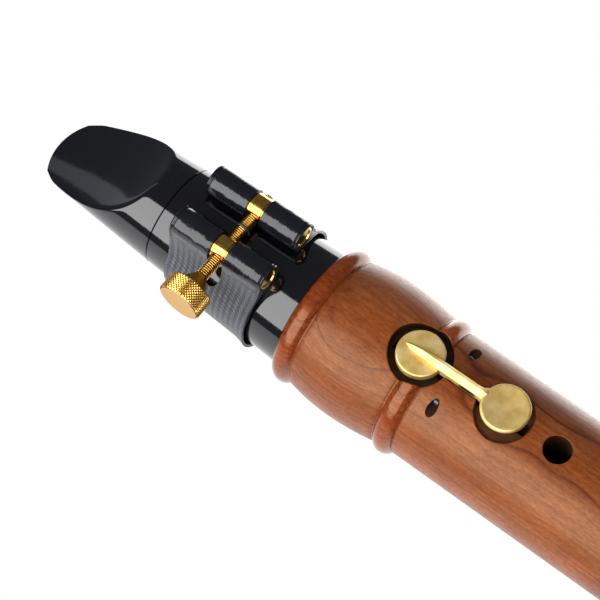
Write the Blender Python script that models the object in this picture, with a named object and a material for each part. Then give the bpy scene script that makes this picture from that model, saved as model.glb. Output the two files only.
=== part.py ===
"""Small clarinet in C: a black mouthpiece with its reed and ligature on a turned wooden body.

Units are metres. The origin is the centre of the foot's flat end, +Z runs along the bore to
the tip of the mouthpiece, and -Y is the front, where the finger holes and the key are.
"""
import math

import bmesh
import bpy
from mathutils import Vector
from mathutils.geometry import interpolate_bezier

# Lengths along the bore
FOOT_LENGTH = 0.0570
BODY_LENGTH = 0.1880
MOUTHPIECE_LENGTH = 0.0750

# Turned wooden body
BODY_RADIUS = 0.0157
BORE_RADIUS = 0.0070
RIM_STEP = 0.0003
RING_PROUD = 0.0016
TOP_RING_LENGTH = 0.0049
BULGE_PROUD = 0.0016
BULGE_LENGTH = 0.0226
LOWER_RING_LENGTH = 0.0051
SHOULDER_PROUD = 0.0005
GROOVE_DEPTH = 0.00025

# Tenon and foot joint
TENON_RADIUS = 0.0110
TENON_LENGTH = 0.0160
CORK_THICKNESS = 0.0010
FOOT_RING_PROUD = 0.0019
FOOT_RING_LENGTH = 0.0060
FOOT_WAIST_SUNK = 0.0009
FOOT_FLARE_PROUD = 0.0081
FOOT_LIP_HEIGHT = 0.0050
BELL_RADIUS = 0.0135
BELL_DEPTH = 0.0300

# Holes, each given by its distance below the socket rim and its diameter
FINGER_HOLES = ((0.0637, 0.0064), (0.0850, 0.0066), (0.1070, 0.0068))
LOWER_HOLES = ((0.1310, 0.0062), (0.1520, 0.0068), (0.1710, 0.0058))
THUMB_HOLE = (0.0530, 0.0062)
LITTLE_FINGER_HEIGHT = 0.0320
LITTLE_FINGER_DIAMETER = 0.0056
LITTLE_FINGER_TURN = math.radians(-24.0)

# Mouthpiece, measured up from the socket rim
SHANK_RADIUS = 0.01458
SHANK_DRAFT = 0.003375
SHANK_SWEEP = 0.001125
MOUTHPIECE_BORE_RADIUS = 0.0073
BEAK_START = 0.0438
BEAK_TIP_BACK = 0.0060
TABLE_START = 0.0063
TABLE_BACK = 0.0112
TABLE_DRAFT = 0.003225
TIP_OPENING = 0.0010
FACING_LENGTH = 0.0180
WINDOW_WIDTH = 0.0094
WINDOW_START = 0.0430
BEAK_WALL = 0.0016
TIP_WALL = 0.0025
TIP_RADIUS = 0.0132
TIP_HALF_WIDTH = 0.0074
GROOVE_LINE_HEIGHT = 0.0384
GROOVE_LINE_WIDTH = 0.0005

# Reed
REED_LENGTH = 0.0670
REED_THICKNESS = 0.0029
REED_TIP_THICKNESS = 0.0003
REED_BUTT_WIDTH = 0.0116
REED_TIP_WIDTH = 0.0126
REED_BARK_LENGTH = 0.0320

# Ligature
LIGATURE_START = 0.0086
LIGATURE_LENGTH = 0.0236
BAND_THICKNESS = 0.00065
BAND_FLARE = 0.0006
BAND_FLARE_LENGTH = 0.0040
TUNNEL_PROUD = 0.0008
BAR_SPACING = 0.0126
BAR_RADIUS = 0.0028
BAR_COLLAR_RADIUS = 0.0031
BAR_COLLAR_LENGTH = 0.0036
BAR_BORE_RADIUS = 0.0022
BAR_FLOOR = 0.00045
SCREW_HEIGHT = 0.0201
SCREW_RADIUS = 0.0015
SCREW_TIP_PROUD = 0.0003
SCREW_CONE_START = 0.0148
SCREW_CONE_RADIUS = 0.0036
KNOB_START = 0.0176
KNOB_LENGTH = 0.0048
KNOB_RADIUS = 0.0053
STOP_RING_THICKNESS = 0.0005
STOP_RING_WIDTH = 0.0004

# Key, measured down from the socket rim and outward from the body's turned surface
CUP_DEPTH = 0.0282
CUP_RADIUS = 0.00545
CUP_PROUD = 0.0005
CUP_HEIGHT = 0.0020
CUP_WALL = 0.0006
PAD_THICKNESS = 0.0021
PAD_HOLE_RADIUS = 0.0024
POCKET_CLEARANCE = 0.00175
PIN_SHARE = 0.4041
PIN_COVER = 0.0022
PIN_RADIUS = 0.0010
PIN_SUNK = 0.0012
TOUCH_DEPTH = 0.0501
TOUCH_RADIUS = 0.0055
TOUCH_PROUD = 0.0028
TOUCH_THICKNESS = 0.0014
TOUCH_POCKET_CLEARANCE = 0.00105
TOUCH_POCKET_DEPTH = 0.0023
ARM_WIDTH = 0.0023
ARM_RIDGE = 0.00120
ARM_PROUD = 0.0026
LUG_RADIUS = 0.0022
SPRING_WIDTH = 0.0018
SPRING_THICKNESS = 0.0003
RIVET_RADIUS = 0.0005
RIVET_HEAD_RADIUS = 0.0009
BUMPER_RADIUS = 0.0019
BUMPER_THICKNESS = 0.0007
BUMPER_INSET = 0.0008

# Clearances
GAP = 0.0003
GLUE_GAP = 0.0002
RUNNING_GAP = 0.00015
CUT_OVER = 0.0040

# Facets round a full turn
WOOD_SEGMENTS = 40
MOUTHPIECE_SEGMENTS = 40
SMALL_SEGMENTS = 24

RIM_Z = FOOT_LENGTH + BODY_LENGTH
TIP_Z = RIM_Z + MOUTHPIECE_LENGTH
FOOT_TOP_Z = FOOT_LENGTH - GAP
RIM_RADIUS = SHANK_RADIUS + RIM_STEP
RING_RADIUS = BODY_RADIUS + RING_PROUD
BULGE_RADIUS = BODY_RADIUS + BULGE_PROUD
SHOULDER_RADIUS = BODY_RADIUS + SHOULDER_PROUD
FOOT_RING_RADIUS = BODY_RADIUS + FOOT_RING_PROUD
FOOT_WAIST_RADIUS = BODY_RADIUS - FOOT_WAIST_SUNK
FOOT_FLARE_RADIUS = BODY_RADIUS + FOOT_FLARE_PROUD
SOCKET_RADIUS = TENON_RADIUS + GLUE_GAP * 2
SOCKET_DEPTH = TENON_LENGTH + GAP
TENON_END_Z = FOOT_LENGTH - TENON_LENGTH
LOWER_RING_START = TOP_RING_LENGTH + BULGE_LENGTH
LOWER_RING_END = LOWER_RING_START + LOWER_RING_LENGTH
PIN_NEAREST = CUP_DEPTH + CUP_RADIUS + LUG_RADIUS + GAP
PIN_DEPTH = max(CUP_DEPTH + (TOUCH_DEPTH - CUP_DEPTH) * PIN_SHARE, PIN_NEAREST)
PIN_Z = RIM_Z - PIN_DEPTH
PIN_FORWARD = BODY_RADIUS - PIN_COVER
CUP_TOP = BODY_RADIUS + CUP_PROUD
ARM_TOP = BODY_RADIUS + ARM_PROUD
TOUCH_TOP = BODY_RADIUS + TOUCH_PROUD
TOUCH_POCKET_FLOOR = BODY_RADIUS - TOUCH_POCKET_DEPTH
PAD_SEAT = CUP_TOP - CUP_WALL - GLUE_GAP - PAD_THICKNESS - GAP
POCKET_RADIUS = CUP_RADIUS + POCKET_CLEARANCE
TOUCH_POCKET_RADIUS = TOUCH_RADIUS + TOUCH_POCKET_CLEARANCE
BAR_X = BAR_SPACING / 2
SCREW_TIP_REACH = BAR_X + BAR_COLLAR_RADIUS + SCREW_TIP_PROUD
BAND_GAP = GLUE_GAP
TUNNEL_BORE = BAR_RADIUS + RUNNING_GAP
TUNNEL_RADIUS = TUNNEL_BORE + BAND_THICKNESS
WINDOW_HALF = BAR_COLLAR_LENGTH / 2 + GAP


def clear_scene():
    for old in list(bpy.data.objects):
        bpy.data.objects.remove(old, do_unlink=True)


def paint(name, color, roughness, metallic=0.0):
    material = bpy.data.materials.new(name)
    material.use_nodes = True
    shader = material.node_tree.nodes["Principled BSDF"]
    shader.inputs["Base Color"].default_value = (*color, 1.0)
    shader.inputs["Roughness"].default_value = roughness
    shader.inputs["Metallic"].default_value = metallic
    return material


def add_object(name, verts, faces, material=None, smooth=True):
    mesh = bpy.data.meshes.new(name)
    mesh.from_pydata([tuple(v) for v in verts], [], faces)
    shape = bmesh.new()
    shape.from_mesh(mesh)
    loose = [vert for vert in shape.verts if not vert.link_faces]
    bmesh.ops.delete(shape, geom=loose, context="VERTS")
    bmesh.ops.recalc_face_normals(shape, faces=shape.faces)
    shape.to_mesh(mesh)
    shape.free()
    if smooth:
        mesh.shade_smooth()
        mesh.set_sharp_from_angle(angle=math.radians(35.0))
    obj = bpy.data.objects.new(name, mesh)
    bpy.context.scene.collection.objects.link(obj)
    if material:
        mesh.materials.append(material)
    return obj


def turned(name, profile, segments, material=None):
    """Turn a closed outline of (radius, height) points about Z; a flat end gets one face."""
    verts = []
    rings = []
    for radius, height in profile:
        start = len(verts)
        if radius == 0.0:
            verts.append((0.0, 0.0, height))
            rings.append([start] * segments)
            continue
        for i in range(segments):
            angle = 2 * math.pi * i / segments
            verts.append((radius * math.cos(angle), radius * math.sin(angle), height))
        rings.append(list(range(start, start + segments)))
    faces = []
    for k in range(len(profile)):
        lower, upper = rings[k - 1], rings[k]
        radii = (profile[k - 1][0], profile[k][0])
        if max(radii) == 0.0:
            continue
        if min(radii) == 0.0 and profile[k - 1][1] == profile[k][1]:
            faces.append(lower if radii[0] else upper)
            continue
        for i in range(segments):
            j = (i + 1) % segments
            corners = [lower[i], lower[j], upper[j], upper[i]]
            faces.append(list(dict.fromkeys(corners)))
    return add_object(name, verts, faces, material)


def lofted(name, sections, material=None, smooth=True):
    """Join equal loops of points into one closed body."""
    count = len(sections[0])
    verts = [point for section in sections for point in section]
    faces = [list(reversed(range(count)))]
    for k in range(len(sections) - 1):
        for i in range(count):
            j = (i + 1) % count
            faces.append([k * count + i, k * count + j, (k + 1) * count + j, (k + 1) * count + i])
    faces.append([(len(sections) - 1) * count + i for i in range(count)])
    return add_object(name, verts, faces, material, smooth)


def side_cut(name, outline, half_width):
    """A body with an outline of (y, z) points, as wide as asked in X."""
    sections = [[(x, y, z) for y, z in outline] for x in (-half_width, half_width)]
    return lofted(name, sections, smooth=False)


def round_bar(name, radius, start, end, segments=SMALL_SEGMENTS, material=None):
    outline = [(0.0, start), (radius, start), (radius, end), (0.0, end)]
    return turned(name, outline, segments, material)


def combine(obj, cutter, operation="DIFFERENCE"):
    modifier = obj.modifiers.new(cutter.name, "BOOLEAN")
    modifier.operation = operation
    modifier.solver = "EXACT"
    modifier.object = cutter
    cutter.hide_render = True
    cutter.display_type = "WIRE"


def place(obj, location, rotation=(0.0, 0.0, 0.0), parent=None):
    obj.location = location
    obj.rotation_euler = rotation
    obj.parent = parent
    return obj


def pivot(name, location, rotation=(0.0, 0.0, 0.0)):
    empty = bpy.data.objects.new(name, None)
    bpy.context.scene.collection.objects.link(empty)
    return place(empty, location, rotation)


FACE_FRONT = (math.pi / 2, 0.0, 0.0)
FACE_LEFT = (0.0, -math.pi / 2, 0.0)


def bead(start, end, crest, floor_start, floor_end):
    """Points (radius, distance) over a half-round bead, cut off where it meets its grooves."""
    points = 7
    middle = (start + end) / 2
    half = (end - start) / 2
    centre = crest - half
    result = []
    for i in range(points):
        angle = math.pi * i / (points - 1)
        floor = floor_start if i < points / 2 else floor_end
        result.append((max(centre + half * math.sin(angle), floor), middle - half * math.cos(angle)))
    return result


def curve(p0, p1, p2, p3, count):
    points = [Vector((a, b, 0.0)) for a, b in (p0, p1, p2, p3)]
    return [(p.x, p.y) for p in interpolate_bezier(points[0], points[1], points[2], points[3], count)]


def upright(points):
    """Turn (radius, distance below the rim), listed downwards, into an outline going up."""
    return [(radius, RIM_Z - distance) for radius, distance in reversed(points)]


def radial_hole(obj, name, distance, diameter, turn=0.0):
    """Bore one hole from outside into the bore, turned about the bore's axis from the front."""
    cutter = round_bar(name, diameter / 2, BORE_RADIUS * 0.4, BODY_RADIUS + CUT_OVER)
    place(cutter, (0.0, 0.0, RIM_Z - distance), (math.pi / 2, 0.0, turn))
    combine(obj, cutter)


def make_body(wood):
    ring_floor = SHOULDER_RADIUS - GROOVE_DEPTH
    outer = bead(0.0, TOP_RING_LENGTH, RING_RADIUS, RIM_RADIUS, ring_floor)
    lift = (BULGE_RADIUS - SHOULDER_RADIUS) * 8 / 3
    outer += curve(
        (SHOULDER_RADIUS, TOP_RING_LENGTH + GROOVE_DEPTH),
        (SHOULDER_RADIUS + lift * 0.56, TOP_RING_LENGTH + BULGE_LENGTH * 0.34),
        (SHOULDER_RADIUS + lift * 0.44, TOP_RING_LENGTH + BULGE_LENGTH * 0.66),
        (SHOULDER_RADIUS, LOWER_RING_START - GROOVE_DEPTH),
        7,
    )
    outer += bead(LOWER_RING_START, LOWER_RING_END, RING_RADIUS, ring_floor, BODY_RADIUS - GROOVE_DEPTH)
    outer += [(BODY_RADIUS, LOWER_RING_END + GROOVE_DEPTH)]
    outer += [(BODY_RADIUS, BODY_LENGTH)]
    outer += [(TENON_RADIUS, BODY_LENGTH), (TENON_RADIUS, BODY_LENGTH + TENON_LENGTH)]
    inner = [(BORE_RADIUS, TENON_END_Z), (BORE_RADIUS, RIM_Z - SOCKET_DEPTH)]
    inner += [(SOCKET_RADIUS, RIM_Z - SOCKET_DEPTH), (SOCKET_RADIUS, RIM_Z)]
    body = turned("body", upright(outer) + inner[::-1], WOOD_SEGMENTS, wood)
    cut_tenon_groove(body, "body_cork_groove", TENON_END_Z)
    for number, (distance, diameter) in enumerate(FINGER_HOLES + LOWER_HOLES):
        radial_hole(body, f"cut_finger_hole_{number + 1}", distance, diameter)
    radial_hole(body, "cut_thumb_hole", THUMB_HOLE[0], THUMB_HOLE[1], turn=math.pi)
    cut_key_seat(body)
    return body


def cork_ring(name, start, material=None, grow=0.0):
    """The cork sleeve in its groove on a tenon, or with grow the groove that holds it."""
    outer = TENON_RADIUS + GLUE_GAP + grow * CORK_THICKNESS
    inner = TENON_RADIUS + GLUE_GAP - CORK_THICKNESS - grow * GLUE_GAP
    inset = TENON_LENGTH * 0.15 - grow * GLUE_GAP
    low = start + inset
    high = start + TENON_LENGTH - inset
    outline = [(outer, low), (outer, high), (inner, high), (inner, low)]
    return turned(name, outline, WOOD_SEGMENTS, material)


def cut_tenon_groove(obj, name, start):
    combine(obj, cork_ring("cut_" + name, start, grow=1.0))


def cut_key_seat(body):
    """Pad pocket with its note hole, finger pocket, key slot and the holes for the pin."""
    reach = RING_RADIUS + CUT_OVER
    pocket = round_bar("cut_pad_pocket", POCKET_RADIUS, PAD_SEAT, reach, 32)
    place(pocket, (0.0, 0.0, RIM_Z - CUP_DEPTH), FACE_FRONT)
    combine(body, pocket)
    note = round_bar("cut_note_hole", PAD_HOLE_RADIUS, BORE_RADIUS * 0.4, reach)
    place(note, (0.0, 0.0, RIM_Z - CUP_DEPTH), FACE_FRONT)
    combine(body, note)
    finger = round_bar("cut_touch_pocket", TOUCH_POCKET_RADIUS, TOUCH_POCKET_FLOOR, reach, 32)
    place(finger, (0.0, 0.0, RIM_Z - TOUCH_DEPTH), FACE_FRONT)
    combine(body, finger)
    slot_top = max(RIM_Z - CUP_DEPTH - POCKET_RADIUS * 0.9, PIN_Z + LUG_RADIUS + GAP)
    slot_end = RIM_Z - TOUCH_DEPTH + TOUCH_POCKET_RADIUS * 0.9
    slot_floor = PIN_FORWARD - LUG_RADIUS - GAP
    outline = [(-slot_floor, slot_end), (-slot_floor, slot_top), (-reach, slot_top), (-reach, slot_end)]
    combine(body, side_cut("cut_key_slot", outline, ARM_WIDTH / 2 + GAP))
    pin_hole = round_bar("cut_pin_hole", PIN_RADIUS + RUNNING_GAP, -reach, reach)
    place(pin_hole, (0.0, -PIN_FORWARD, PIN_Z), FACE_LEFT)
    combine(body, pin_hole)


def make_foot(wood):
    ring_end = FOOT_TOP_Z - FOOT_RING_LENGTH
    waist_z = BELL_DEPTH
    lip = FOOT_FLARE_RADIUS
    outer = [(lip - FOOT_LIP_HEIGHT * 0.3, 0.0), (lip, FOOT_LIP_HEIGHT * 0.25)]
    outer += [(lip, FOOT_LIP_HEIGHT * 0.75), (lip - FOOT_LIP_HEIGHT * 0.3, FOOT_LIP_HEIGHT)]
    outer += curve(
        (lip - FOOT_LIP_HEIGHT * 0.38, FOOT_LIP_HEIGHT + GROOVE_DEPTH),
        (FOOT_WAIST_RADIUS + (lip - FOOT_WAIST_RADIUS) * 0.15, FOOT_LIP_HEIGHT + waist_z * 0.25),
        (FOOT_WAIST_RADIUS, waist_z * 0.7),
        (FOOT_WAIST_RADIUS, waist_z),
        7,
    )
    outer += [(BODY_RADIUS, ring_end - GROOVE_DEPTH)]
    top_floor = BODY_RADIUS - GROOVE_DEPTH
    ring = bead(0.0, FOOT_RING_LENGTH, FOOT_RING_RADIUS, BODY_RADIUS, top_floor)
    outer += [(radius, FOOT_TOP_Z - distance) for radius, distance in ring[::-1]]
    floor_z = TENON_END_Z - GAP
    inner = [(SOCKET_RADIUS, FOOT_TOP_Z), (SOCKET_RADIUS, floor_z), (BORE_RADIUS, floor_z)]
    inner += curve(
        (BORE_RADIUS, BELL_DEPTH),
        (BORE_RADIUS, BELL_DEPTH * 0.6),
        (BELL_RADIUS * 0.8, BELL_DEPTH * 0.3),
        (BELL_RADIUS, 0.0),
        5,
    )
    foot = turned("foot_joint", outer + inner, WOOD_SEGMENTS, wood)
    distance = RIM_Z - LITTLE_FINGER_HEIGHT
    radial_hole(foot, "cut_little_finger_hole", distance, LITTLE_FINGER_DIAMETER, LITTLE_FINGER_TURN)
    return foot


def shank_radius(height):
    """Outer radius of the mouthpiece at a height above the socket rim."""
    share = height / MOUTHPIECE_LENGTH
    return SHANK_RADIUS - SHANK_DRAFT * share - SHANK_SWEEP * share * share


def table_back(height):
    """How far behind the axis the reed's table lies at a height above the rim."""
    return TABLE_BACK - TABLE_DRAFT * height / MOUTHPIECE_LENGTH


def beak_line():
    """The beak's hollow slope as (y, z), from its crest at the front to the tip."""
    rise = MOUTHPIECE_LENGTH - BEAK_START
    front = -shank_radius(BEAK_START)
    drop = BEAK_TIP_BACK - front
    return curve(
        (front, RIM_Z + BEAK_START),
        (front + drop * 0.42, RIM_Z + BEAK_START + rise * 0.19),
        (front + drop * 0.84, RIM_Z + BEAK_START + rise * 0.59),
        (BEAK_TIP_BACK, TIP_Z),
        10,
    )


def make_mouthpiece(rubber):
    heights = [GROOVE_LINE_HEIGHT * share for share in (0.0, 0.26, 0.52, 0.78)]
    cut = GROOVE_LINE_WIDTH / 2
    outer = [(TENON_RADIUS, RIM_Z - TENON_LENGTH), (TENON_RADIUS, RIM_Z + GAP)]
    outer += [(shank_radius(h), RIM_Z + max(h, GAP)) for h in heights]
    for height, depth in ((-cut, 0.0), (0.0, cut), (cut, 0.0)):
        at = GROOVE_LINE_HEIGHT + height
        outer.append((shank_radius(at) - depth, RIM_Z + at))
    steps = 8
    for i in range(1, steps + 1):
        at = GROOVE_LINE_HEIGHT + (MOUTHPIECE_LENGTH + GAP - GROOVE_LINE_HEIGHT) * i / steps
        outer.append((shank_radius(at), RIM_Z + at))
    bore_end = RIM_Z + WINDOW_START * 0.66
    outer += [(0.0, outer[-1][1]), (0.0, bore_end)]
    outer += [(MOUTHPIECE_BORE_RADIUS, bore_end), (MOUTHPIECE_BORE_RADIUS, RIM_Z - TENON_LENGTH)]
    piece = turned("mouthpiece", outer, MOUTHPIECE_SEGMENTS, rubber)
    cut_tenon_groove(piece, "mouthpiece_cork_groove", RIM_Z - TENON_LENGTH)
    wide = SHANK_RADIUS + CUT_OVER
    far_z = TIP_Z + CUT_OVER
    slope = beak_line()
    first, last = slope[0], slope[-1]
    start = (first[0] * 2 - slope[1][0], first[1] * 2 - slope[1][1])
    outline = [(-wide, start[1]), start] + slope + [(last[0], far_z), (-wide, far_z)]
    combine(piece, side_cut("cut_beak", outline, wide))
    low = TABLE_START
    facing = MOUTHPIECE_LENGTH - FACING_LENGTH
    table = [(table_back(low), RIM_Z + low), (wide, RIM_Z + low), (wide, far_z)]
    for share in (1.0, 0.5, 0.0):
        height = facing + FACING_LENGTH * share
        table.append((table_back(height) - TIP_OPENING * share ** 2, RIM_Z + height))
    table[3:3] = [(table[3][0], far_z)]
    combine(piece, side_cut("cut_table", table, wide))
    cut_tip_sides(piece, wide)
    cut_chamber(piece)
    return piece


def cut_tip_sides(piece, wide):
    """Round the tip's outline, as seen from the front."""
    tip = []
    steps = 8
    for i in range(steps + 1):
        x = -TIP_HALF_WIDTH + 2 * TIP_HALF_WIDTH * i / steps
        sag = TIP_RADIUS - math.sqrt(TIP_RADIUS ** 2 - x * x)
        tip.append((x, TIP_Z - sag))
    corner = tip[0][1]
    shoulder = TIP_HALF_WIDTH * 1.36
    low = corner - TIP_HALF_WIDTH * 0.85
    near = (-TIP_HALF_WIDTH * 1.10, corner - TIP_HALF_WIDTH * 0.17)
    left = [(-wide, TIP_Z + CUT_OVER), (-wide, low), (-shoulder, low), near]
    right = [(-x, z) for x, z in left[::-1]]
    loop = left + tip + right
    sections = [[(x, y, z) for x, z in loop] for y in (-wide, wide)]
    combine(piece, lofted("cut_tip", sections, smooth=False))


def cut_chamber(piece):
    """The tone chamber under the beak, open to the reed through the window."""
    slope = [(y + BEAK_WALL, z) for y, z in beak_line() if y > -MOUTHPIECE_BORE_RADIUS * 0.5]
    slope = [(y, z) for y, z in slope if z < TIP_Z - TIP_WALL]
    window_z = RIM_Z + WINDOW_START
    throat = MOUTHPIECE_BORE_RADIUS * 0.62
    back = SHANK_RADIUS + CUT_OVER
    low = RIM_Z + WINDOW_START * 0.5
    outline = [(-throat, low), (throat, low), (throat, window_z), (back, window_z), (back, slope[-1][1])]
    outline += slope[::-1] + [(-throat, slope[0][1] - throat)]
    combine(piece, side_cut("cut_chamber", outline, WINDOW_WIDTH / 2))


def make_reed(cane):
    """The reed in the table's own frame: +Z to the tip, +Y away from the table."""
    tilt = math.atan(TABLE_DRAFT / MOUTHPIECE_LENGTH)
    butt = TABLE_START + GLUE_GAP * 6
    frame = pivot("reed_table", (0.0, table_back(butt) + GLUE_GAP, RIM_Z + butt), (tilt, 0.0, 0.0))
    vamp = REED_LENGTH - REED_BARK_LENGTH
    stations = [(0.0, 1.0, 1.0), (REED_BARK_LENGTH, 1.0, 1.0)]
    for share in (0.12, 0.35, 0.6, 0.82, 0.96):
        stations.append((REED_BARK_LENGTH + vamp * share, (1 - share) ** 1.25, 1.0))
    stations.append((REED_LENGTH, 0.0, 0.72))
    sections = []
    count = 8
    for along, thick, narrow in stations:
        share = along / REED_LENGTH
        half = (REED_BUTT_WIDTH + (REED_TIP_WIDTH - REED_BUTT_WIDTH) * share) / 2 * narrow
        height = REED_TIP_THICKNESS + (REED_THICKNESS - REED_TIP_THICKNESS) * thick
        section = [(-half, 0.0, along), (half, 0.0, along)]
        for i in range(count + 1):
            x = half * (1 - 2 * i / count)
            section.append((x, height * (1 - 0.5 * (x / half) ** 2), along))
        sections.append(section)
    reed = lofted("reed", sections, cane)
    return place(reed, (0.0, 0.0, 0.0), parent=frame)


def bar_forward(height):
    """How far in front of the axis the ligature's bars lie at a height above the rim."""
    seats = []
    for at in (LIGATURE_START, LIGATURE_START + LIGATURE_LENGTH):
        distance = shank_radius(at) + BAND_GAP + BAR_FLOOR + TUNNEL_BORE
        seats.append(math.sqrt(distance ** 2 - BAR_X ** 2))
    return seats[0] + (seats[1] - seats[0]) * (height - LIGATURE_START) / LIGATURE_LENGTH


def band_section(height):
    """The band's outline at one height: inner face, a tunnel at each front end, outer face.

    The tunnels run past the band's edges at both ends, so the outline isn't quite level.
    """
    inner = shank_radius(height) + BAND_GAP
    low = (LIGATURE_START + BAND_FLARE_LENGTH - height) / BAND_FLARE_LENGTH
    flare = BAND_FLARE * max(low, 0.0) ** 2
    forward = bar_forward(height)
    reach = math.hypot(BAR_X, forward)
    turn = math.atan2(BAR_X, forward)
    cosine = (inner ** 2 + reach ** 2 - TUNNEL_RADIUS ** 2) / (2 * inner * reach)
    start = turn - math.acos(min(cosine, 1.0))

    def at(radius, azimuth):
        return radius * math.sin(azimuth), -radius * math.cos(azimuth)

    blend_end = turn + math.radians(34.0)
    stretch = TUNNEL_PROUD * (2 * (height - LIGATURE_START) / LIGATURE_LENGTH - 1)

    def lift(x, y):
        share = 1.5 * (blend_end - math.atan2(x, -y)) / (blend_end - turn)
        return RIM_Z + height + stretch * min(max(share, 0.0), 1.0)

    inside = []
    steps = 12
    for i in range(steps + 1):
        azimuth = start + (math.pi - start) * i / steps
        swell = flare * min(max((azimuth - turn) / (blend_end - turn), 0.0), 1.0)
        inside.append(at(inner + swell, azimuth))
    outside = []
    steps = 12
    for i in range(steps + 1):
        azimuth = math.pi + (blend_end - math.pi) * i / steps
        outside.append(at(inner + BAND_THICKNESS + flare, azimuth))
    centre = (BAR_X, -forward)

    def on_tunnel(angle):
        direction = turn + angle
        x = centre[0] + TUNNEL_RADIUS * math.sin(direction)
        return x, centre[1] - TUNNEL_RADIUS * math.cos(direction)

    leave = math.radians(72.0)
    side = on_tunnel(leave)
    foot = outside[-1]
    outside.append(((side[0] + foot[0]) / 2 * 0.99, (side[1] + foot[1]) / 2 * 0.99))
    gap_angle = math.atan2(inside[0][0] - centre[0], -(inside[0][1] - centre[1])) - turn
    steps = 11
    for i in range(steps):
        outside.append(on_tunnel(leave + (gap_angle - leave) * i / steps))
    half = inside + outside[1:]
    right = [(x, y, lift(x, y)) for x, y in half]
    left = [(-x, y, z) for x, y, z in right]
    seam = len(inside) - 1
    outer_right = right[seam + 1:]
    outer_left = left[seam + 1:]
    back_outer = (0.0, inner + BAND_THICKNESS + flare, RIM_Z + height)
    loop = left[:seam + 1] + right[:seam][::-1] + outer_right[::-1] + [back_outer] + outer_left
    return loop


def make_band(leather):
    heights = [0.0, 0.3, 0.65, 1.0]
    levels = [LIGATURE_START + BAND_FLARE_LENGTH * h for h in heights]
    rest = LIGATURE_LENGTH - BAND_FLARE_LENGTH
    levels += [LIGATURE_START + BAND_FLARE_LENGTH + rest * share for share in (0.33, 0.66, 1.0)]
    band = lofted("ligature_band", [band_section(level) for level in levels], leather)
    lean = bar_lean()
    for side, name in ((-1, "near"), (1, "far")):
        bore = round_bar(f"cut_tunnel_{name}", TUNNEL_BORE, -LIGATURE_LENGTH, LIGATURE_LENGTH)
        place(bore, (side * BAR_X, -bar_forward(SCREW_HEIGHT), RIM_Z + SCREW_HEIGHT), (lean, 0.0, 0.0))
        combine(band, bore)
    combine(band, window_cutter())
    return band


def bar_lean():
    rise = LIGATURE_LENGTH
    fall = bar_forward(LIGATURE_START) - bar_forward(LIGATURE_START + rise)
    return -math.atan2(fall, rise)


def window_cutter():
    """The round-ended window in the band's front that bares the middle of both bars."""
    half_length = shank_radius(SCREW_HEIGHT) * 0.90
    outline = []
    steps = 8
    for side in (1, -1):
        for i in range(steps + 1):
            angle = math.pi * (i / steps - 0.5)
            x = side * (half_length - WINDOW_HALF + WINDOW_HALF * math.cos(angle))
            outline.append((x, RIM_Z + SCREW_HEIGHT + side * WINDOW_HALF * math.sin(angle)))
    depth = shank_radius(SCREW_HEIGHT) * 0.5
    front = bar_forward(SCREW_HEIGHT) + TUNNEL_RADIUS + CUT_OVER
    sections = [[(x, y, z) for x, z in outline] for y in (-depth, -front)]
    return lofted("cut_band_window", sections, smooth=False)


def make_bar(name, side, hole_gap, brass):
    """One tube of the ligature, with the collar that shows in the window."""
    centre = LIGATURE_START + LIGATURE_LENGTH / 2
    half = LIGATURE_LENGTH / 2 + TUNNEL_PROUD
    middle = SCREW_HEIGHT - centre
    collar = BAR_COLLAR_LENGTH / 2
    edge = BAR_RADIUS * 0.12
    outline = [(BAR_RADIUS - edge, -half), (BAR_RADIUS, -half + edge), (BAR_RADIUS, middle - collar)]
    outline += [(BAR_COLLAR_RADIUS, middle - collar), (BAR_COLLAR_RADIUS, middle + collar)]
    outline += [(BAR_RADIUS, middle + collar), (BAR_RADIUS, half - edge), (BAR_RADIUS - edge, half)]
    outline += [(BAR_BORE_RADIUS, half), (BAR_BORE_RADIUS, -half)]
    bar = turned(name, outline, SMALL_SEGMENTS, brass)
    place(bar, (side * BAR_X, -bar_forward(centre), RIM_Z + centre), (bar_lean(), 0.0, 0.0))
    reach = BAR_COLLAR_RADIUS + CUT_OVER
    hole = round_bar(f"cut_{name}", SCREW_RADIUS + hole_gap, -reach, reach)
    place(hole, (side * BAR_X, -bar_forward(SCREW_HEIGHT), RIM_Z + SCREW_HEIGHT), FACE_LEFT)
    combine(bar, hole)
    return bar


def make_screw(brass, black):
    axis = pivot("ligature_screw_axis", (0.0, -bar_forward(SCREW_HEIGHT), RIM_Z + SCREW_HEIGHT), FACE_LEFT)
    edge = KNOB_RADIUS * 0.07
    end = KNOB_START + KNOB_LENGTH
    outline = [(0.0, -SCREW_TIP_REACH), (SCREW_RADIUS - GLUE_GAP, -SCREW_TIP_REACH)]
    outline += [(SCREW_RADIUS, -SCREW_TIP_REACH + GLUE_GAP), (SCREW_RADIUS, SCREW_CONE_START)]
    outline += [(SCREW_CONE_RADIUS * 0.68, SCREW_CONE_START + (KNOB_START - SCREW_CONE_START) * 0.6)]
    outline += [(SCREW_CONE_RADIUS, KNOB_START), (KNOB_RADIUS - edge, KNOB_START)]
    outline += [(KNOB_RADIUS, KNOB_START + edge), (KNOB_RADIUS, end - edge)]
    outline += [(KNOB_RADIUS - edge, end), (0.0, end)]
    screw = turned("ligature_screw", outline, WOOD_SEGMENTS, brass)
    place(screw, (0.0, 0.0, 0.0), parent=axis)
    bore = SCREW_RADIUS + RUNNING_GAP
    half = STOP_RING_THICKNESS / 2
    outline = [(bore + STOP_RING_WIDTH, -half), (bore + STOP_RING_WIDTH, half), (bore, half), (bore, -half)]
    ring = turned("screw_stop_ring", outline, SMALL_SEGMENTS, black)
    place(ring, (0.0, 0.0, 0.0), parent=axis)


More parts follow.
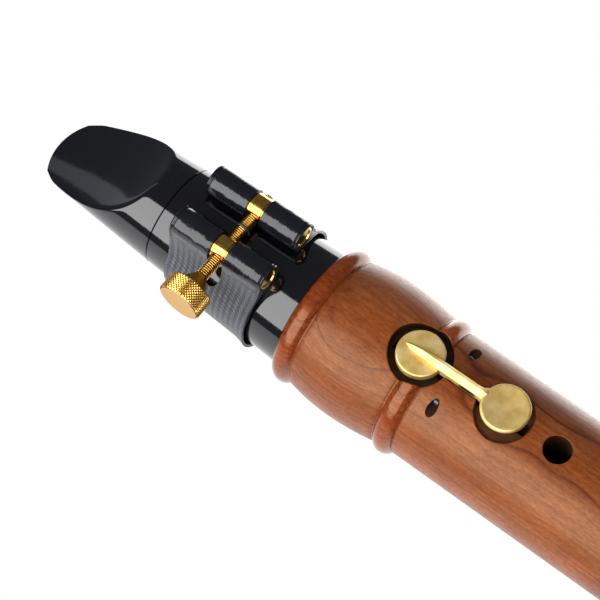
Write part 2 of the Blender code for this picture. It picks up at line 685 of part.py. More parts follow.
def arm_section(depth, half_width, base, shoulder, ridge):
    """Five corners of the key's arm: flat underneath and ridged like a roof on top."""
    z = PIN_DEPTH - depth
    left = [(-half_width, base), (-half_width, shoulder)]
    corners = left + [(0.0, ridge)] + [(-x, forward) for x, forward in left[::-1]]
    return [(x, PIN_FORWARD - forward, z) for x, forward in corners]


def make_key(brass, steel, leather):
    axis = pivot("key_axis", (0.0, -PIN_FORWARD, PIN_Z))
    half = ARM_WIDTH / 2
    on_cup = CUP_TOP + GLUE_GAP
    cup_low = CUP_DEPTH + CUP_RADIUS
    cup_high = CUP_DEPTH - CUP_RADIUS
    touch_edge = TOUCH_DEPTH - TOUCH_RADIUS - GLUE_GAP
    shoulder = ARM_TOP - ARM_RIDGE
    under = PIN_FORWARD + LUG_RADIUS * 0.6
    low = under + TOUCH_TOP - TOUCH_THICKNESS - CUP_TOP
    stations = [
        (cup_high + CUP_RADIUS * 0.18, half * 0.12, on_cup, on_cup + GLUE_GAP * 0.5, on_cup + GLUE_GAP),
        (cup_high + CUP_RADIUS * 0.75, half * 0.66, on_cup, on_cup + GLUE_GAP, ARM_TOP - ARM_RIDGE * 0.8),
        (CUP_DEPTH + CUP_RADIUS * 0.45, half, on_cup, shoulder - GLUE_GAP, ARM_TOP - GLUE_GAP),
        (cup_low + GAP, half, on_cup, shoulder, ARM_TOP),
        (cup_low + GAP * 2, half, under, shoulder, ARM_TOP),
        (PIN_DEPTH, half, under, shoulder, ARM_TOP),
        (PIN_DEPTH + LUG_RADIUS * 0.9, half, low, shoulder, ARM_TOP),
        (touch_edge - half, half, low, TOUCH_TOP - ARM_RIDGE, TOUCH_TOP + GLUE_GAP),
        (touch_edge, half * 1.4, low, TOUCH_TOP - ARM_RIDGE * 0.8, TOUCH_TOP + GLUE_GAP),
    ]
    sections = [arm_section(*station) for station in stations]
    tail_top = TOUCH_TOP - TOUCH_THICKNESS - GLUE_GAP
    tail = [(low, touch_edge - half), (low, touch_edge + TOUCH_RADIUS * 0.7)]
    tail += [(tail_top, touch_edge + TOUCH_RADIUS * 0.7), (tail_top, touch_edge - half)]
    arm = lofted("key_arm", sections, brass, smooth=False)
    place(arm, (0.0, 0.0, 0.0), parent=axis)
    outline = [(PIN_FORWARD - forward, PIN_DEPTH - depth) for forward, depth in tail]
    tongue = side_cut("join_arm_tongue", outline, half)
    place(tongue, (0.0, 0.0, 0.0), parent=axis)
    combine(arm, tongue, "UNION")
    lug = round_bar("join_arm_lug", LUG_RADIUS, -half, half)
    place(lug, (0.0, 0.0, 0.0), FACE_LEFT, axis)
    combine(arm, lug, "UNION")
    hole = round_bar("cut_arm_pin", PIN_RADIUS + RUNNING_GAP, -BODY_RADIUS, BODY_RADIUS)
    place(hole, (0.0, 0.0, 0.0), FACE_LEFT, axis)
    combine(arm, hole)
    make_cup(axis, brass, leather)
    make_touch(axis, brass)
    make_spring(axis, arm, low, brass, steel)
    chord = math.sqrt(BODY_RADIUS ** 2 - PIN_FORWARD ** 2) - PIN_SUNK
    pin = round_bar("key_pin", PIN_RADIUS, -chord, chord, material=steel)
    place(pin, (0.0, -PIN_FORWARD, PIN_Z), FACE_LEFT)


def make_cup(axis, brass, leather):
    edge = CUP_WALL * 0.6
    bottom = CUP_TOP - CUP_HEIGHT
    ceiling = CUP_TOP - CUP_WALL
    inside = CUP_RADIUS - CUP_WALL
    outline = [(inside, bottom), (CUP_RADIUS, bottom), (CUP_RADIUS, CUP_TOP - edge)]
    outline += [(CUP_RADIUS - edge, CUP_TOP), (0.0, CUP_TOP), (0.0, ceiling), (inside, ceiling)]
    cup = turned("key_cup", outline, 32, brass)
    seat = (0.0, PIN_FORWARD, PIN_DEPTH - CUP_DEPTH)
    place(cup, seat, FACE_FRONT, axis)
    pad_top = ceiling - GLUE_GAP
    pad_low = PAD_SEAT + GAP
    radius = inside - GLUE_GAP
    edge = PAD_THICKNESS * 0.15
    outline = [(0.0, pad_low), (radius - edge, pad_low), (radius, pad_low + edge)]
    outline += [(radius, pad_top), (0.0, pad_top)]
    pad = turned("key_pad", outline, 32, leather)
    place(pad, seat, FACE_FRONT, axis)


def make_touch(axis, brass):
    edge = TOUCH_THICKNESS * 0.25
    low = TOUCH_TOP - TOUCH_THICKNESS
    outline = [(0.0, low), (TOUCH_RADIUS - edge, low), (TOUCH_RADIUS, low + edge)]
    outline += [(TOUCH_RADIUS, TOUCH_TOP - edge), (TOUCH_RADIUS - edge, TOUCH_TOP)]
    outline += [(TOUCH_RADIUS * 0.5, TOUCH_TOP - edge * 0.6), (0.0, TOUCH_TOP - edge * 0.8)]
    touch = turned("key_touch", outline, 32, brass)
    place(touch, (0.0, PIN_FORWARD, PIN_DEPTH - TOUCH_DEPTH), FACE_FRONT, axis)


def make_spring(axis, arm, arm_low, brass, steel):
    """A leaf riveted under the arm, whose free end bears on the floor of the touch's pocket."""
    start = PIN_DEPTH + LUG_RADIUS + GAP
    rivet_at = start + RIVET_HEAD_RADIUS + GAP
    under = arm_low - GLUE_GAP
    half = SPRING_WIDTH / 2
    bend = rivet_at + RIVET_HEAD_RADIUS * 2
    end = TOUCH_DEPTH
    rest = TOUCH_POCKET_FLOOR + GLUE_GAP + SPRING_THICKNESS
    route = [(start, under), (bend, under), ((bend + end) / 2, (under + rest) / 2 + GLUE_GAP), (end, rest)]
    sections = []
    for depth, forward in route:
        y = PIN_FORWARD - forward
        z = PIN_DEPTH - depth
        low = y + SPRING_THICKNESS
        sections.append([(-half, low, z), (-half, y, z), (half, y, z), (half, low, z)])
    spring = lofted("key_spring", sections, steel, smooth=False)
    place(spring, (0.0, 0.0, 0.0), parent=axis)
    seat = (0.0, PIN_FORWARD, PIN_DEPTH - rivet_at)
    head_top = under - SPRING_THICKNESS - GLUE_GAP
    shank_top = under + LUG_RADIUS * 0.5
    hole = round_bar("cut_rivet_hole", RIVET_RADIUS + RUNNING_GAP, head_top - GAP, shank_top + GLUE_GAP, 16)
    place(hole, seat, FACE_FRONT, axis)
    combine(spring, hole)
    combine(arm, hole)
    outline = [(0.0, head_top - GAP), (RIVET_HEAD_RADIUS, head_top - GAP), (RIVET_HEAD_RADIUS, head_top)]
    outline += [(RIVET_RADIUS, head_top), (RIVET_RADIUS, shank_top), (0.0, shank_top)]
    rivet = turned("spring_rivet", outline, 16, brass)
    place(rivet, seat, FACE_FRONT, axis)


def make_bumper(felt):
    """A felt disc on the floor of the touch's pocket, under the touch's far edge."""
    low = TOUCH_POCKET_FLOOR + GLUE_GAP
    bumper = round_bar("key_bumper", BUMPER_RADIUS, low, low + BUMPER_THICKNESS, material=felt)
    far = TOUCH_DEPTH + TOUCH_RADIUS - BUMPER_RADIUS - BUMPER_INSET
    place(bumper, (0.0, 0.0, RIM_Z - far), FACE_FRONT)


def main():
    clear_scene()
    wood = paint("pear_wood", (0.30, 0.11, 0.045), 0.35)
    rubber = paint("hard_rubber", (0.008, 0.008, 0.010), 0.08)
    cane = paint("cane", (0.70, 0.53, 0.27), 0.5)
    cork = paint("cork", (0.50, 0.30, 0.15), 0.8)
    fabric = paint("coated_fabric", (0.02, 0.02, 0.022), 0.3)
    gold = paint("yellow_brass", (0.85, 0.57, 0.16), 0.2, 1.0)
    brass = paint("satin_brass", (0.78, 0.63, 0.34), 0.35, 1.0)
    steel = paint("steel", (0.45, 0.45, 0.46), 0.35, 1.0)
    black = paint("black_nylon", (0.02, 0.02, 0.02), 0.4)
    leather = paint("pad_leather", (0.55, 0.42, 0.28), 0.7)
    felt = paint("felt", (0.25, 0.05, 0.05), 0.9)
    make_body(wood)
    cork_ring("foot_tenon_cork", TENON_END_Z, cork)
    make_foot(wood)
    make_mouthpiece(rubber)
    cork_ring("mouthpiece_cork", RIM_Z - TENON_LENGTH, cork)
    make_reed(cane)
    make_band(fabric)
    make_bar("ligature_bar_near", -1, GLUE_GAP, gold)
    make_bar("ligature_bar_far", 1, RUNNING_GAP, gold)
    make_screw(gold, black)
    make_key(brass, steel, leather)
    make_bumper(felt)


main()
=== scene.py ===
"""Small clarinet in C: pear-wood body, black mouthpiece with reed and woven ligature, brass key."""

import math

import bmesh
import bpy
import numpy as np
from mathutils import Matrix, Vector


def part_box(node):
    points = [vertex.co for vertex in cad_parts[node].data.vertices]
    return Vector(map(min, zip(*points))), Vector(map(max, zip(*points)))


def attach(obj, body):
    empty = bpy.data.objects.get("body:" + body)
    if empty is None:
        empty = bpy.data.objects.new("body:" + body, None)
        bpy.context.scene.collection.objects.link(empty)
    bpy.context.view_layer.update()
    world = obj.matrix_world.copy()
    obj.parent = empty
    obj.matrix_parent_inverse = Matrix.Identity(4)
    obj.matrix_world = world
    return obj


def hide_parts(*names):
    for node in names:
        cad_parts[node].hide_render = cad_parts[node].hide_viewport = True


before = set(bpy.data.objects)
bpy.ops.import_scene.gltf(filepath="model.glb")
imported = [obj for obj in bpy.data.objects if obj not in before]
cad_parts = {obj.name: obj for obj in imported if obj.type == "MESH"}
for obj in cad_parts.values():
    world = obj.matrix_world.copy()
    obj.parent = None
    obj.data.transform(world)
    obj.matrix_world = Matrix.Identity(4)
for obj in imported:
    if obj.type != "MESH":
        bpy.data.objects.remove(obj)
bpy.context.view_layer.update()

# The body is one billet of pear wood, bored through and turned between centres on a lathe.
# Two half-round beads border a barrel-shaped swelling, and the surface is oiled and burnished.
RIM = 0.245
BODY_RADIUS = 0.0157
BODY_LENGTH = 0.188
BORE_RADIUS = 0.0070
TENON_RADIUS = 0.0110
TENON_LENGTH = 0.0160
GROOVE_RADIUS = 0.0100
CORK_START = 0.0022
CORK_END = 0.0138
SOCKET_RADIUS = 0.0114
SOCKET_DEPTH = 0.0163
SHOULDER_RADIUS = 0.0162
RING_RADIUS = 0.0173
RIM_BEAD_END = 0.0049
BEAD_START = 0.0275
BEAD_END = 0.0326
V_CUT = 0.00025
EASED = 0.0002
ROUND = 192
PAD_DEPTH = 0.0282
TOUCH_DEPTH = 0.0501
PIN_DEPTH = 0.03705
PIN_FORWARD = 0.0135
THUMB_HOLE = 0.0530
LOWEST_HOLE = 0.2130
# Each finger hole has its depth below the rim and its width.
FINGER_HOLES = ((0.0637, 0.0064), (0.0850, 0.0066), (0.1070, 0.0068), (0.1310, 0.0062), (0.1520, 0.0068),
                (0.1710, 0.0058))


def linear(code):
    """An sRGB hex colour as linear RGBA."""
    parts = [int(code[i:i + 2], 16) / 255 for i in (1, 3, 5)]
    return tuple(p / 12.92 if p <= 0.04045 else ((p + 0.055) / 1.055) ** 2.4 for p in parts) + (1.0,)


def wire(made, inputs):
    """Set a node's inputs, each to a value, to a socket or to another node's first output."""
    for key, value in inputs.items():
        if isinstance(value, bpy.types.Node):
            value = value.outputs[0]
        if isinstance(value, bpy.types.NodeSocket):
            made.id_data.links.new(value, made.inputs[key])
        else:
            made.inputs[key].default_value = value


def node(tree, kind, inputs=None, stops=None, **settings):
    """Add a node with its settings, inputs and a ramp's stops; a bare kind is a shader node's."""
    made = tree.nodes.new(kind if "Node" in kind else "ShaderNode" + kind)
    for name, value in settings.items():
        setattr(made, name, value)
    wire(made, inputs or {})
    if stops:
        ramp = made.color_ramp.elements
        while len(ramp) < len(stops):
            ramp.new(0.5)
        for element, (position, color) in zip(ramp, stops):
            element.position = position
            element.color = color if isinstance(color, tuple) else linear(color)
    return made


def new_finish(name, color, roughness, metallic=0.0):
    """A material with its plain values set, and the tree and shader to build on."""
    made = bpy.data.materials.new(name)
    made.use_nodes = True
    shader = made.node_tree.nodes["Principled BSDF"]
    wire(shader, {"Base Color": linear(color), "Roughness": roughness, "Metallic": metallic})
    return made, made.node_tree, shader


def make_piece(name, verts, faces, finishes, crease=38.0, slots=None):
    """A closed mesh with outward normals, smooth but for edges sharper than crease."""
    mesh = bpy.data.meshes.new(name)
    mesh.from_pydata([tuple(v) for v in verts], [], faces)
    for finish in finishes:
        mesh.materials.append(finish)
    if slots is not None:
        mesh.polygons.foreach_set("material_index", slots)
    shape = bmesh.new()
    shape.from_mesh(mesh)
    bmesh.ops.remove_doubles(shape, verts=shape.verts, dist=1e-7)
    bmesh.ops.recalc_face_normals(shape, faces=shape.faces)
    shape.to_mesh(mesh)
    shape.free()
    mesh.shade_smooth()
    mesh.set_sharp_from_angle(angle=math.radians(crease))
    piece = bpy.data.objects.new(name, mesh)
    bpy.context.scene.collection.objects.link(piece)
    return piece


def turn(name, outline, finishes, facets=ROUND, crease=38.0, place=None):
    """Turn a closed outline of (radius, height) about Z, then set it in place."""
    verts = []
    faces = []
    for radius, height in outline:
        for i in range(facets):
            angle = 2 * math.pi * i / facets
            verts.append(Vector((radius * math.cos(angle), radius * math.sin(angle), height)))
    count = len(outline)
    for k in range(count):
        after = (k + 1) % count
        if outline[k][0] == 0.0 and outline[after][0] == 0.0:
            continue
        for i in range(facets):
            j = (i + 1) % facets
            faces.append((k * facets + i, k * facets + j, after * facets + j, after * facets + i))
    if place:
        verts = [place @ v for v in verts]
    return make_piece(name, verts, faces, finishes, crease)


def spaced(outline, step):
    """The same outline with no span longer than step."""
    result = []
    for k, (a, b) in enumerate(outline):
        c, d = outline[(k + 1) % len(outline)]
        parts = max(1, math.ceil(math.hypot(c - a, d - b) / step))
        result += [(a + (c - a) * i / parts, b + (d - b) * i / parts) for i in range(parts)]
    return result


def bead(start, end, crest, floor_start, floor_end):
    """Points (radius, distance) over a half-round bead between its two grooves."""
    half = (end - start) / 2
    result = []
    for i in range(23):
        angle = math.pi * i / 22
        floor = floor_start if i < 11 else floor_end
        radius = max(crest - half + half * math.sin(angle), floor)
        result.append((radius, start + half - half * math.cos(angle)))
    return result


def cubic(ends, steps):
    """Points along the cubic curve of four control points, both ends included."""
    result = []
    for i in range(steps + 1):
        t = i / steps
        weights = ((1 - t) ** 3, 3 * t * (1 - t) ** 2, 3 * t * t * (1 - t), t ** 3)
        result.append(tuple(sum(w * p[k] for w, p in zip(weights, ends)) for k in (0, 1)))
    return result


def bulge(start, end, low, crest):
    """Points (radius, distance) over a barrel-shaped swelling."""
    lift = (crest - low) * 8 / 3
    span = end - start
    first, second = (low + lift * 0.56, start + span * 0.34), (low + lift * 0.44, start + span * 0.66)
    return cubic(((low, start), first, second, (low, end)), 24)


outer = bead(0.0, RIM_BEAD_END, RING_RADIUS, 0.01488, SHOULDER_RADIUS - V_CUT)
outer += bulge(RIM_BEAD_END + V_CUT, BEAD_START - V_CUT, SHOULDER_RADIUS, RING_RADIUS)
outer += bead(BEAD_START, BEAD_END, RING_RADIUS, SHOULDER_RADIUS - V_CUT, BODY_RADIUS - V_CUT)
outer += [(BODY_RADIUS, BEAD_END + V_CUT)]
tenon = [(TENON_RADIUS, 0.0), (TENON_RADIUS, CORK_START), (GROOVE_RADIUS, CORK_START)]
tenon += [(GROOVE_RADIUS, CORK_END), (TENON_RADIUS, CORK_END), (TENON_RADIUS, TENON_LENGTH)]
edge = 0.0003
outline = outer + [(BODY_RADIUS, BODY_LENGTH - edge), (BODY_RADIUS - edge, BODY_LENGTH)]
outline += [(radius, BODY_LENGTH + distance) for radius, distance in tenon]
outline += [(BORE_RADIUS, BODY_LENGTH + TENON_LENGTH), (BORE_RADIUS, SOCKET_DEPTH)]
outline += [(SOCKET_RADIUS, SOCKET_DEPTH), (SOCKET_RADIUS, 0.0)]


def ring_faces(rings, count):
    """Faces over equal rings of points: the first ring, the last one, then the sides between them."""
    faces = [tuple(range(count)), tuple(range((rings - 1) * count, rings * count))]
    for k in range(rings - 1):
        for i in range(count):
            j = (i + 1) % count
            faces.append((k * count + i, k * count + j, (k + 1) * count + j, (k + 1) * count + i))
    return faces


def hole_cutter(name, depth, radius, ease, floor, about=0.0, wall=None, side=outer):
    """A round hole's cutter, whose mouth follows the turned side with an eased edge.

    floor is the hole's end in front of the bore's axis, and wall is the finish inside it. Its
    corners start a little off the axis, so that none of them meets a corner of the turned side.
    """
    levels = [("floor", 0.0)] + [("ease", k / 4) for k in range(5)] + [("out", 0.0)]
    side_depths, side_radii = [d for r, d in side], [r for r, d in side]
    spin = Matrix.Rotation(about, 4, "Z")
    verts = []
    count = 64
    for kind, share in levels:
        bend = share * math.pi / 2
        reach = radius if kind == "floor" else radius + ease * (1 - math.cos(bend))
        reach = radius + ease * 1.05 if kind == "out" else reach
        for i in range(count):
            angle = 2 * math.pi * (i + 0.37) / count
            x = reach * math.cos(angle)
            z = RIM - depth + reach * math.sin(angle)
            skin = math.sqrt(float(np.interp(RIM - z, side_depths, side_radii)) ** 2 - x * x)
            forward = {"floor": floor, "ease": skin - ease * (1 - math.sin(bend)), "out": skin + 0.004}[kind]
            verts.append(spin @ Vector((x, -forward, z)))
    # By default the floor and the wall inside the hole are painted dark as shade, and the eased mouth keeps
    # the plain wood.
    slots = [0] * (2 + count) + [1] * (len(levels) - 2) * count
    return make_piece(name, verts, ring_faces(len(levels), count), [wall or painted_shade_pear, pear], slots=slots)


def block(name, low, high, finish):
    """A box between two corners, for cutting a slot."""
    verts = [(x, y, z) for x in (low[0], high[0]) for y in (low[1], high[1]) for z in (low[2], high[2])]
    faces = [(0, 1, 3, 2), (4, 6, 7, 5), (0, 4, 5, 1), (2, 3, 7, 6), (0, 2, 6, 4), (1, 5, 7, 3)]
    return make_piece(name, verts, faces, [finish])


def freeze(piece):
    """Turn a piece's modifiers or nodes into a plain mesh."""
    graph = bpy.context.evaluated_depsgraph_get()
    mesh = bpy.data.meshes.new_from_object(piece.evaluated_get(graph), depsgraph=graph)
    old = piece.data
    piece.modifiers.clear()
    piece.data = mesh
    bpy.data.meshes.remove(old)
    mesh.name = piece.name
    return piece


def cut_away(piece, cutters, crease=38.0):
    """Cut shapes out of a piece in millimetres, keep each cutter's own finish, and drop them."""
    for shape in [piece] + cutters:
        shape.data.transform(Matrix.Scale(1000.0, 4))
    for cutter in cutters:
        modifier = piece.modifiers.new(cutter.name, "BOOLEAN")
        modifier.operation = "DIFFERENCE"
        modifier.solver = "EXACT"
        modifier.material_mode = "TRANSFER"
        modifier.object = cutter
    freeze(piece)
    piece.data.transform(Matrix.Scale(0.001, 4))
    for cutter in cutters:
        bpy.data.objects.remove(cutter, do_unlink=True)
    piece.data.shade_smooth()
    piece.data.set_sharp_from_angle(angle=math.radians(crease))
    return piece


def grain(name, base, dark, light, rough):
    """Pear wood: growth lines 1.2 mm apart, streaks 0.7 mm wide, fibres of 0.4 mm and broad clouds.

    The oil gives it a satin gloss that takes the wood's own warm colour.
    """
    made, tree, shader = new_finish(name, base, rough)
    place = node(tree, "TexCoord").outputs["Object"]
    wander = node(tree, "TexNoise", {"Vector": place, "Scale": 28.0, "Detail": 2.0}).outputs["Color"]
    shift = node(tree, "VectorMath", {0: wander, 1: (0.5, 0.5, 0.5)}, operation="SUBTRACT")
    shift = node(tree, "VectorMath", {0: shift, "Scale": 0.0045}, operation="SCALE")
    moved = node(tree, "VectorMath", {0: place, 1: shift}, operation="ADD")
    pith = node(tree, "Mapping", {"Vector": moved, "Location": (0.002, -0.046, 0.0), "Scale": (1, 1, 0.03)})
    away = node(tree, "VectorMath", {0: pith}, operation="LENGTH").outputs["Value"]
    year = node(tree, "Math", {0: away, 1: 1 / 0.0012}, operation="MULTIPLY")
    season = node(tree, "Math", {0: year}, operation="FRACT")
    darkness = ((0.0, 0.0), (0.72, 0.12), (0.9, 1.0), (0.97, 0.1))
    line_stops = [(position, (value, value, value, 1.0)) for position, value in darkness]
    line = node(tree, "ValToRGB", {0: season}, line_stops)
    count = node(tree, "Math", {0: year}, operation="FLOOR")
    luck = node(tree, "TexWhiteNoise", {"W": count}, noise_dimensions="1D").outputs["Value"]
    line = node(tree, "Math", {0: line, 1: luck}, operation="MULTIPLY")
    long_way = node(tree, "Mapping", {"Vector": moved, "Scale": (1500, 1500, 80)})
    streak = node(tree, "TexNoise", {"Vector": long_way, "Scale": 1.0, "Detail": 4.0})
    fine_way = node(tree, "Mapping", {"Vector": place, "Scale": (2600, 2600, 900)})
    fibre = node(tree, "TexNoise", {"Vector": fine_way, "Scale": 1.0, "Detail": 2.0})
    cloud = node(tree, "TexNoise", {"Vector": place, "Scale": 55.0, "Detail": 3.0})
    color = node(tree, "ValToRGB", {0: streak}, ((0.05, dark), (0.5, base), (0.95, light)))
    cloudy = node(tree, "ValToRGB", {0: cloud}, ((0.35, "#D8CFC8"), (0.65, "#FFFFFF")))
    fine = node(tree, "ValToRGB", {0: fibre}, ((0.32, "#C9B5A6"), (0.62, "#FFFFFF")))
    for share, shade in ((1.0, cloudy), (line, linear("#9C7658")), (0.8, fine)):
        layers = {0: share, 6: color, 7: shade}
        color = node(tree, "Mix", layers, data_type="RGBA", blend_type="MULTIPLY").outputs[2]
    gloss = node(tree, "MapRange", {0: fibre, 1: 0.3, 2: 0.7, 3: rough + 0.06, 4: rough - 0.05})
    bump = node(tree, "Bump", {"Height": fibre, "Strength": 0.35, "Distance": 0.00003})
    wire(shader, {"Specular Tint": (1.0, 0.72, 0.48, 1.0), "Base Color": color, "Roughness": gloss,
                  "Normal": bump})
    return made


# The beads are burnished brightest; the bore, the socket and the holes' walls are painted dark and dull as
# painted shade, and the touch's pocket is painted a less dark shade.
pear = grain("oiled_pear_wood", "#83431C", "#5E2A0E", "#9C5F33", 0.38)
bead_pear = grain("burnished_pear_wood", "#853D18", "#642A0D", "#9A5226", 0.2)
painted_shade_pear = grain("pear_wood_painted_dark_shade", "#2E170D", "#1C0D07", "#3C2113", 0.6)
painted_half_shade_pear = grain("pear_wood_painted_half_shade", "#54301C", "#3A1E10", "#6A3E26", 0.6)
body = turn("turned_body", spaced([(r, RIM - d) for r, d in outline], 0.0022), [pear, bead_pear, painted_shade_pear])
# The bore and the socket take the wood painted dark as shade, and the beads take the burnished wood.
for polygon in body.data.polygons:
    depth = RIM - polygon.center.z
    reach = math.hypot(polygon.center.x, polygon.center.y)
    bored = reach < BORE_RADIUS + 0.0001 or (reach < SOCKET_RADIUS + 0.0001 and depth < SOCKET_DEPTH)
    on_bead = depth < RIM_BEAD_END or BEAD_START < depth < BEAD_END
    polygon.material_index = 2 if bored else int(on_bead)
cutters = []
# Each hole's wall and floor is painted dark as shade, the touch's pocket less dark.
for number, (depth, width) in enumerate(FINGER_HOLES):
    cutters.append(hole_cutter(f"finger_hole_{number}", depth, width / 2, EASED, 0.004))
cutters.append(hole_cutter("thumb_hole", THUMB_HOLE, 0.0031, EASED, 0.004, math.pi))
cutters.append(hole_cutter("pad_pocket", PAD_DEPTH, 0.0072, 0.0003, 0.0130))
cutters.append(hole_cutter("note_hole", PAD_DEPTH, 0.0024, 0.0001, 0.004))
# The touch's pocket is painted a mid brown as painted shade, lighter than the other holes' painted shade.
cutters.append(hole_cutter("touch_pocket", TOUCH_DEPTH, 0.00655, 0.0003, 0.0134, wall=painted_half_shade_pear))
# The key's slot and the pin's bore are painted dark as shade too.
slot_low, slot_high = (-0.00145, -0.022, RIM - 0.0560), (0.00145, -0.0110, RIM - 0.0217)
cutters.append(block("key_slot", slot_low, slot_high, painted_shade_pear))
across_body = Matrix.Translation((0.0, -PIN_FORWARD, RIM - PIN_DEPTH)) @ Matrix.Rotation(math.pi / 2, 4, "Y")
pin_bore = [(0.0, -0.02), (0.00115, -0.02), (0.00115, 0.02), (0.0, 0.02)]
cutters.append(turn("pin_bore", pin_bore, [painted_shade_pear], 32, place=across_body))
cut_away(body, cutters)
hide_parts("body")
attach(body, "wooden_body")

# The foot joint is turned from the same billet, so its grain matches, and it slips over the tenon.
# A bead stiffens the socket's mouth, and the outside flares to a rounded lip round the bell.
FOOT_TOP = 0.0567
FOOT_FLARE = 0.0238
FOOT_BEAD = 0.0060
SOCKET_FLOOR = 0.0407
LIP_HEIGHT = 0.0050
WAIST_RADIUS = 0.0148
BELL_RADIUS = 0.0135
BELL_DEPTH = 0.0300
foot_outline = []
for i in range(17):
    angle = math.pi * (i / 16 - 0.5)
    lip_radius = FOOT_FLARE - 0.0025 + 0.0025 * math.cos(angle)
    foot_outline.append((lip_radius, LIP_HEIGHT / 2 * (1 + math.sin(angle))))
flare = ((0.0219, 0.00525), (0.01615, 0.0125), (WAIST_RADIUS, 0.0210), (WAIST_RADIUS, 0.0300))
foot_outline += cubic(flare, 20)
foot_outline += [(BODY_RADIUS, FOOT_TOP - FOOT_BEAD - V_CUT)]
ring = bead(0.0, FOOT_BEAD, 0.0176, BODY_RADIUS, BODY_RADIUS - V_CUT)
foot_outline += [(radius, FOOT_TOP - distance) for radius, distance in ring[::-1]]
foot_side = [(radius, RIM - height) for radius, height in foot_outline[::-1]]
foot_outline += [(SOCKET_RADIUS, FOOT_TOP), (SOCKET_RADIUS, SOCKET_FLOOR), (BORE_RADIUS, SOCKET_FLOOR)]
bell = ((BORE_RADIUS, BELL_DEPTH), (BORE_RADIUS, 0.0180), (0.0108, 0.0090), (BELL_RADIUS, 0.0))
foot_outline += cubic(bell, 16)
# The foot's socket, bore and bell are painted dark as shade.
foot = turn("turned_foot", spaced(foot_outline, 0.0025), [pear, painted_shade_pear])
turned_aside = math.radians(-24.0)
cut_away(foot, [hole_cutter("little_hole", LOWEST_HOLE, 0.0028, EASED, 0.004, turned_aside, side=foot_side)])
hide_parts("foot_joint")
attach(foot, "foot")

# Each tenon carries a sleeve of sheet cork, glued in a groove, sanded round and greased.
# The cork is warm brown and mottled, its pores are dents about 1 mm apart, and its seam doesn't show.
cork, tree, shader = new_finish("greased_cork", "#A9764A", 0.75)
place = node(tree, "TexCoord").outputs["Object"]
cells = node(tree, "TexVoronoi", {"Vector": place, "Scale": 900.0}).outputs["Distance"]
mottle = node(tree, "TexNoise", {"Vector": place, "Scale": 420.0, "Detail": 4.0})
tint = node(tree, "ValToRGB", {0: mottle}, ((0.3, "#5E3A20"), (0.45, "#A06E42"), (0.7, "#C29466")))
pores = node(tree, "Bump", {"Height": cells, "Strength": 0.5, "Distance": 0.0001})
wire(shader, {"Base Color": tint, "Normal": pores})
corks = (("foot_tenon_cork", RIM - BODY_LENGTH - TENON_LENGTH, "foot_cork"),
         ("mouthpiece_cork", RIM - TENON_LENGTH, "mouthpiece_cork"))
for name, start, body_name in corks:
    low, high = start + 0.0024, start + 0.0136
    sleeve = [(0.0111, low), (0.0112, low + 0.0003), (0.0112, high - 0.0003), (0.0111, high)]
    sleeve += [(0.0102, high), (0.0102, low)]
    cork_piece = turn(name + "_sleeve", sleeve, [cork], 128)
    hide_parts(name)
    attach(cork_piece, body_name)

# The mouthpiece is turned and milled from hard rubber, and buffed to a black mirror gloss.
# Its hollow beak runs to a thin rounded tip, and the flat table behind it carries the reed.
HEIGHT = 0.0750
TIP_Z = RIM + HEIGHT
BEAK_START = 0.0438
LINE_HEIGHT = 0.0384
TIP_BEHIND = 0.0060
TABLE_SLOPE = 0.043
CROWN = 6.0
AROUND = 300
CHAMBER_RADIUS = 0.0073
CHAMBER_TOP = 0.0284


def shank(height):
    """Outer radius at a height above the rim."""
    return 0.01458 - 0.045 * height - 0.20 * height * height


def table_at(height):
    """How far behind the axis the reed's flat table lies, curving away towards the tip."""
    share = max(0.0, (height - HEIGHT + 0.018) / 0.018)
    return 0.0112 - TABLE_SLOPE * height - 0.0010 * share ** 2


def beak_points():
    """The beak's slope as forward-back position against height, from its crest to the tip."""
    front = -shank(BEAK_START)
    rise = HEIGHT - BEAK_START
    drop = TIP_BEHIND - front
    ends = ((front, BEAK_START), (front + drop * 0.40, BEAK_START + rise * 0.20))
    ends += ((front + drop * 0.81, BEAK_START + rise * 0.61), (TIP_BEHIND, HEIGHT))
    return cubic(ends, 60)


beak_line = beak_points()


def beak_at(height):
    """Position of the beak's slope at a height, and well in front of the shank below it."""
    if height < BEAK_START:
        return -shank(BEAK_START) - (BEAK_START - height) * 1.2
    return float(np.interp(height, [h for y, h in beak_line], [y for y, h in beak_line]))


def tip_half_width(height):
    """Half the tip's width as seen from the front."""
    corner = 0.07285
    if height < corner:
        return 0.0074 + (corner - height) * 0.60
    return math.sqrt(max(0.0132 ** 2 - (0.0132 - (HEIGHT - height)) ** 2, 1e-10))


